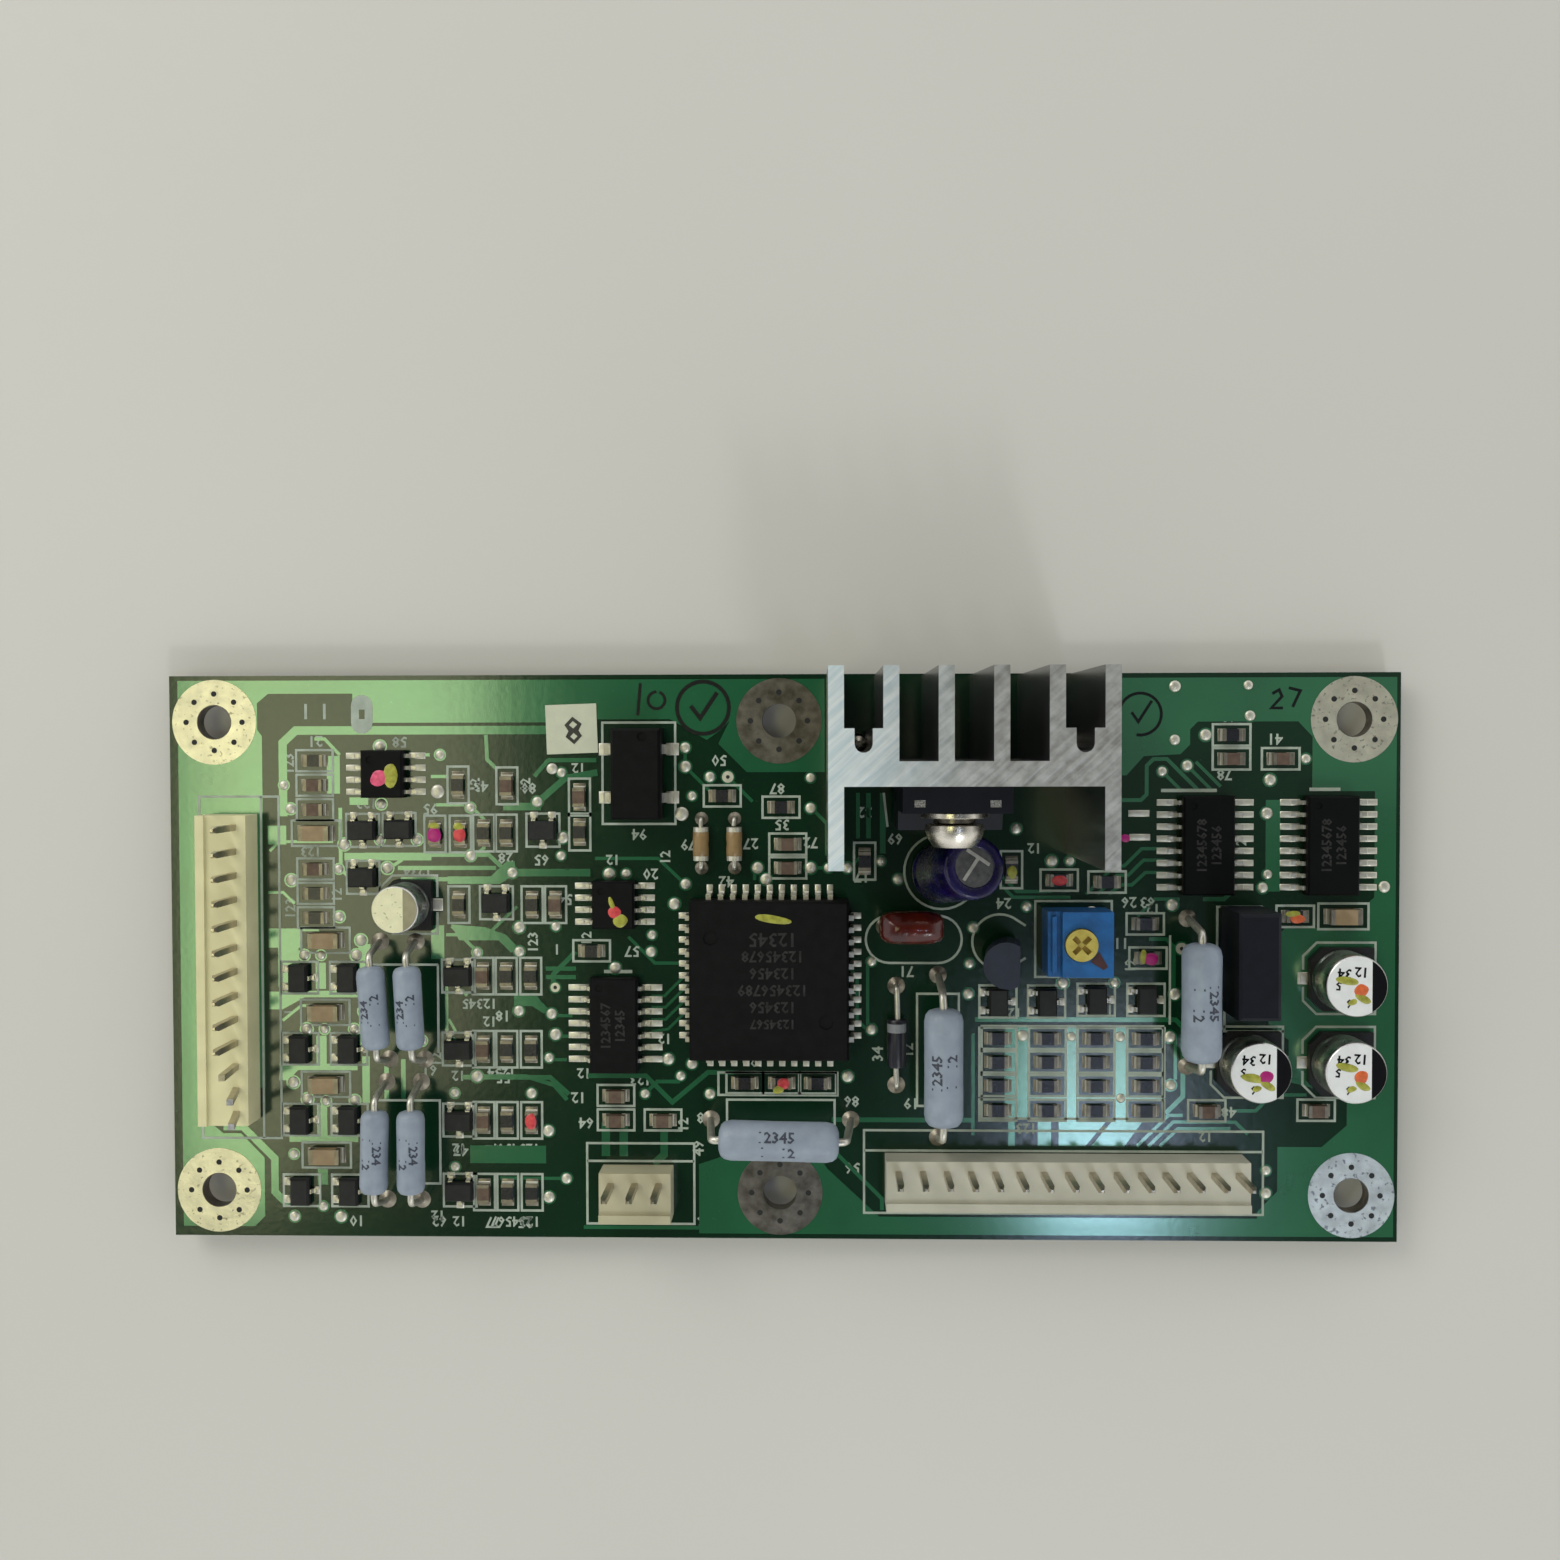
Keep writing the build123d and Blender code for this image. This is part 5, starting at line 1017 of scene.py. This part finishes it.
for start, end in (((-0.75, 1.75, 0), (1.55, 0.25, 0)), ((0.35, 0.85, 0), (-1.15, -1.25, 0))):
    a, b = Vector(start), Vector(end)
    s = UP.cross(b - a).normalized() * 0.17
    radial.rings([[tuple(place @ (upright @ p + UP * z)) for p in (a + s, a - s, b - s, b + s)]
                  for z in (tall - 0.1, tall - 0.02)], "vent")
for k in range(14):
    a, z = 2.2 + 0.42 * (k % 7), tall * (0.32 + 0.22 * (k // 7))
    radial.rings([[tuple(place @ Vector((r * math.cos(turn), r * math.sin(turn), z + dz)))
                   for r, dz in ((SLEEVE_R - 0.02, -0.5), (SLEEVE_R - 0.02, 0.5), (SLEEVE_R + 0.012, 0.5),
                                 (SLEEVE_R + 0.012, -0.5))]
                  for turn in (a - 0.06, a + 0.07 + 0.04 * (k % 3))], "sleeve_print")
radial.make("radial_capacitor_sleeve", "navy_sleeve", smooth=50, replaces=("radial_body",))

# ---- dipped film capacitor
film = Shape()
low, high = box_mm("film_capacitor_body")
tilt = Matrix.Translation(middle((low, high))) @ Matrix.Rotation(math.radians(-6), 4, "X")
hx, hy, hz = (high[0] - low[0]) / 2, 1.7, 3.2
LEVELS = 12
loops = []
for k in range(LEVELS + 1):
    t = -1 + 2 * k / LEVELS
    shrink = max(0.22, (1 - t ** 4) ** 0.32)
    end = 0.8 if abs(t) == 1 else 1
    loops.append([tuple(tilt @ Vector((end * hx * math.copysign(abs(c) ** 0.5, c) * (0.55 + 0.45 * shrink),
                                       end * hy * math.copysign(abs(s) ** 0.5, s) * shrink, t * hz)))
                  for c, s in circle(36)])
film.rings(loops, "film")
film.make("film_capacitor_resin", "red_brown_resin", smooth=80, replaces=("film_capacitor_body",))

# ---- tubular parts and diode
tub = Shape()
for b in islands("tubular_bodies"):
    r, half = (b[1][0] - b[0][0]) / 2, (b[1][1] - b[0][1]) / 2
    tub.skin(axis_matrix(middle(b), (0, 1, 0)),
             [(r * 0.8, -half - 0.12), (r * 0.97, -half + 0.02), (r * 0.99, -half * 0.4), (r * 0.93, 0),
              (r * 0.99, half * 0.4), (r * 0.97, half - 0.02), (r * 0.8, half + 0.12)], "tan_coating", 24)
tub.make("tubular_coatings", "tan_coating", smooth=60, replaces=("tubular_bodies",))
wires = Shape()
for name, wire in (("tubular_leads", 0.5), ("diode_leads", 0.6)):
    for start, foot in lead_ends(name):
        wires.tube([start, Vector((foot.x, foot.y, start.z)), foot], wire / 2, "lead")
wires.make("fine_wires", "tinned_lead", smooth=70, replaces=("tubular_leads", "diode_leads"))
low, high = box_mm("diode_body")
band = [v[1] for v in box_mm("diode_band")]
x, y, z = middle((low, high))
r, front, back = (high[0] - low[0]) / 2, band[0] - low[1], high[1] - band[1]
glass = Shape()
for y, profile, key in (
        (low[1], [(r * 0.5, 0), (r * 0.9, 0.05), (r, 0.25), (r, front)], "diode"),
        (band[1], [(r, 0), (r, back - 0.2), (r * 0.9, back - 0.04), (r * 0.5, back)], "diode"),
        (band[0], [(r * 1.004, 0), (r * 1.004, band[1] - band[0])], "diode_band")):
    glass.skin(axis_matrix((x, y, z), (0, 1, 0)), profile, key)
glass.make("diode_casing", "diode_glaze", smooth=50, replaces=("diode_body", "diode_band"))

# ---- trimmer: mark on the body, floor of the cross slot
low, high = box_mm("trimmer_rotor")
hub, r = Vector(middle((low, high))).xy, (high[0] - low[0]) / 2


def quad_beside(shape, direction, corners, z0, z1, key):
    """Flat four-sided solid, its corners (outwards, sideways) from the rotor's axis along a direction."""
    d = Vector(direction).normalized()
    s = Vector((-d.y, d.x))
    shape.prism([tuple(hub + d * u + s * v) for u, v in corners], z0, z1, key)


wedge, rotor = Shape(), Shape()
body_top = box_mm("trimmer_body")[1][2]
quad_beside(wedge, (1, -0.95), ((r + 0.12, 0.75), (r + 0.2, -0.6), (r + 1.75, -0.3), (r + 1.85, 0.25)),
            body_top, body_top + 0.06, "brown_mark")
wedge.make("trimmer_mark", "blue_thermoplastic")
for way in ((1, 1), (-1, 1), (-1, -1), (1, -1)):
    quad_beside(rotor, way, ((0.26, 0.18), (1.12, 0.34), (1.12, -0.34), (0.26, -0.18)),
                high[2] - 0.42, high[2] - 0.36, "slot_shade")
rotor.make("rotor_slot_floor", "yellow_plastic", body="rotor")

# ---- dabs of inspection paint
paint = Shape()


def drop(x, y, z, rx, ry, color, turn=0.0):
    paint.blob(x, y, z, rx, ry, 0.10, "paint_" + color, math.radians(turn), int(abs(x * 13 + y * 7)) + 1)


# node below the dabs, then x, y, half sizes, colour and turn of each
DABS = {
    "eight_pin_chip_bodies": """-41.9 19.1 .95 .8 pink 20; -40.7 19.4 .75 1.25 olive 0;
        -17.2 4.95 .7 .65 red 0; -16.6 4.1 .75 .7 olive 0; -17.5 5.9 .25 .8 olive 20""",
    "chip_resistor_bodies": """-36.5 13 .75 .8 magenta 0; -36.5 14 .6 .35 olive 0; -33.8 13 .7 .75 red 0;
        -33.9 13.9 .55 .4 olive 0; -26.4 -17.4 .6 .9 red 0; .4 -13.3 .65 .6 red 0; -.1 -13.9 .6 .45 olive 20;
        29.4 8.2 .85 .6 red 0; 38.9 0 .75 .65 magenta 0; 38.1 .2 .35 .8 olive 0; 54.1 4.2 .8 .45 orange 0;
        53.6 4.7 .8 .35 olive 0; 24.4 9.1 .5 .7 olive 0""",
    "square_chip_body": "-.7 4.55 1.9 .45 olive -9"}
for node, rows in DABS.items():
    for row in rows.split(";"):
        x, y, rx, ry, color, turn = row.split()
        drop(float(x), float(y), box_mm(node)[1][2], float(rx), float(ry), color, float(turn))
drop(36.3, 12.6, TOP + 0.03, 0.5, 0.45, "magenta")
can_top = box_mm("can_shells")[1][2]
for b, rise, color in zip(islands("can_shells")[1:], (-0.5, 0.6, 0.6), ("magenta", "orange", "orange")):
    x, y, z = middle(b)
    drop(x - 1.0, y + rise, can_top, 1.15, 0.45, "olive", -12)
    drop(x + 0.4, y - 0.4, can_top, 0.75, 0.65, color, 30)
    drop(x + 0.6, y - 1.25, can_top, 0.85, 0.4, "olive", -30)
    drop(x - 0.5, y - 1.6, can_top, 0.5, 0.3, "olive", 20)
paint.make("paint_dots", "white_paper", smooth=60)

# ---- regulator: tie bars and fastener
trim = Shape()
low, high = box_mm("regulator_body")
for side in (-3.5, 3.5):
    x = (low[0] + high[0]) / 2 + side
    trim.block(x - 0.5, high[1] - 2.0, x + 0.5, high[1] - 1.35, high[2] - 0.3, high[2] + 0.02, "zinc")
trim.make("regulator_tie_bars", "tinned_lead")

fastener = Shape()
washers = islands("regulator_washers")
low, high = box_mm("regulator_screw")
x, y, z = middle((low, high))
back = max(b[1][1] for b in washers)
seat = axis_matrix((x, back, z), (0, -1, 0))
depth, r = back - low[1], (high[0] - low[0]) / 2
w = max((b[1][0] - b[0][0]) / 2 for b in washers)
washer = [(1.2, 0.0), (w - 0.06, 0.0), (w, 0.06), (w, 0.46), (w - 0.06, 0.52), (1.2, 0.52)]
spring = [(0.8, 0.50), (r * 0.66, 0.50), (r * 0.72, 0.58), (r * 0.72, 0.98), (r * 0.66, 1.06), (0.8, 1.06)]
fastener.skin(seat, washer, "zinc", 40)
# the spring washer sits back between the flat washer and the head and takes the dark aged colour: painted
# shade in the gap
fastener.skin(seat, spring, "land_aged", 36)
dome = [(r * share, 1.22 + (depth - 1.22) * t)
        for share, t in ((1, 0), (1, 0.16), (0.97, 0.38), (0.90, 0.62), (0.80, 0.84), (0.70, 1))]
fastener.socket_head(seat, [(r * 0.90, 1.12)] + dome, 1.45, 0.34, 0.9, "zinc")
fastener.make("regulator_fastener", "zinc_steel", smooth=40,
              replaces=("regulator_washers", "regulator_screw"))

# ---- table and light
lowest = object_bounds()[0][2]
bpy.ops.mesh.primitive_plane_add(size=3.0, location=(0, 0, lowest - 0.0001))
floor = bpy.context.object
floor.name = "table"
floor.data.materials.append(MATERIALS["floor"])


def lamp(name, location, turn, size, radiance, color):
    """Rectangular lamp, set by the brightness of its face; lengths in metres."""
    data = bpy.data.lights.new(name, "AREA")
    data.shape = "RECTANGLE"
    data.size, data.size_y = size
    data.energy = radiance * math.pi * size[0] * size[1]
    data.color = color
    obj = bpy.data.objects.new(name, data)
    bpy.context.collection.objects.link(obj)
    obj.location = location
    obj.rotation_euler = turn


def glow(name, direction, distance, size, radiance, color):
    """Lamp that faces the board's middle."""
    d = Vector(direction).normalized()
    lamp(name, d * distance, (-d).to_track_quat("-Z", "Y").to_euler(), size, radiance, color)


def panel(name, x0, x1, y0, y1, radiance, color, height=1.2):
    """Level lamp over the board, its edges along the frame's axes."""
    lamp(name, ((x0 + x1) / 2, (y0 + y1) / 2, height), (0, 0, 0), (x1 - x0, y1 - y0), radiance, color)


glow("window", (0.25, -0.70, 0.67), 1.4, (0.17, 0.17), 25.0, (0.92, 0.97, 1.0))
glow("window_frame", (0.30, -0.66, 0.62), 1.5, (0.8, 0.6), 0.8, (0.90, 0.96, 1.0))
glow("fill", (-0.60, 0.62, 0.62), 0.9, (0.50, 0.42), 3.9, (1.0, 0.985, 0.93))
glow("right_glow", (0.36, 0.05, 1.0), 1.3, (0.22, 0.42), 0.2, (0.9, 0.97, 1.0))
panel("left_glow", -0.577, -0.476, -0.412, 0.145, 4.1, (1.0, 0.99, 0.56))
panel("left_glow_mid", -0.476, -0.376, -0.345, 0.145, 3.6, (1.0, 0.99, 0.60))
panel("left_glow_top", -0.376, -0.290, -0.086, 0.145, 3.6, (1.0, 0.99, 0.62))
panel("left_glow_low", -0.376, -0.305, -0.290, -0.086, 3.0, (1.0, 0.99, 0.62))
panel("glare", 0.208, 0.312, -0.425, -0.323, 13.0, (0.55, 0.675, 1.0))
panel("glare_up", 0.190, 0.318, -0.321, -0.232, 6.0, (0.70, 0.80, 1.0))
panel("glare_halo", 0.185, 0.37, -0.45, -0.27, 0.8, (0.66, 0.88, 1.0))

# room light, brightest near the horizon and dim overhead
world = bpy.data.worlds.new("studio")
bpy.context.scene.world = world
world.use_nodes = True
tree = world.node_tree
height = shade(tree, "SeparateXYZ", "Z", {"Vector": shade(tree, "TexCoord", "Generated")})
sky = shade(tree, "ValToRGB", "Color", {"Fac": height})
stops = sky.node.color_ramp.elements
for position in (0.45, 0.82):
    stops.new(position)
for stop, level in zip(stops, (1.06, 1.13, 0.17, 0.05)):
    stop.color = (level * 0.97, level * 0.99, level, 1)
feed(tree, tree.nodes["Background"], {"Color": sky, "Strength": 1.0})

# ---- camera
SENSOR = 36.0
PICTURE = 1560  # width of the picture in the units of its focal length and its shift
lens = bpy.data.cameras.new("camera")
lens.sensor_width = SENSOR
lens.lens = 1500 / PICTURE * SENSOR
lens.shift_x = 1.5 / PICTURE
lens.shift_y = -1.5 / PICTURE
lens.clip_start = 0.005
camera = bpy.data.objects.new("camera", lens)
bpy.context.collection.objects.link(camera)
tip = Vector((-1.409, 1.418, -0.116))
camera.matrix_world = (Matrix.Translation(Vector((3.854, 22.806, 157.918 + TOP)) * MM)
                       @ Matrix.Rotation(math.radians(tip.length), 4, tip.normalized()))
bpy.context.scene.camera = camera
bpy.context.scene.view_settings.view_transform = "Standard"
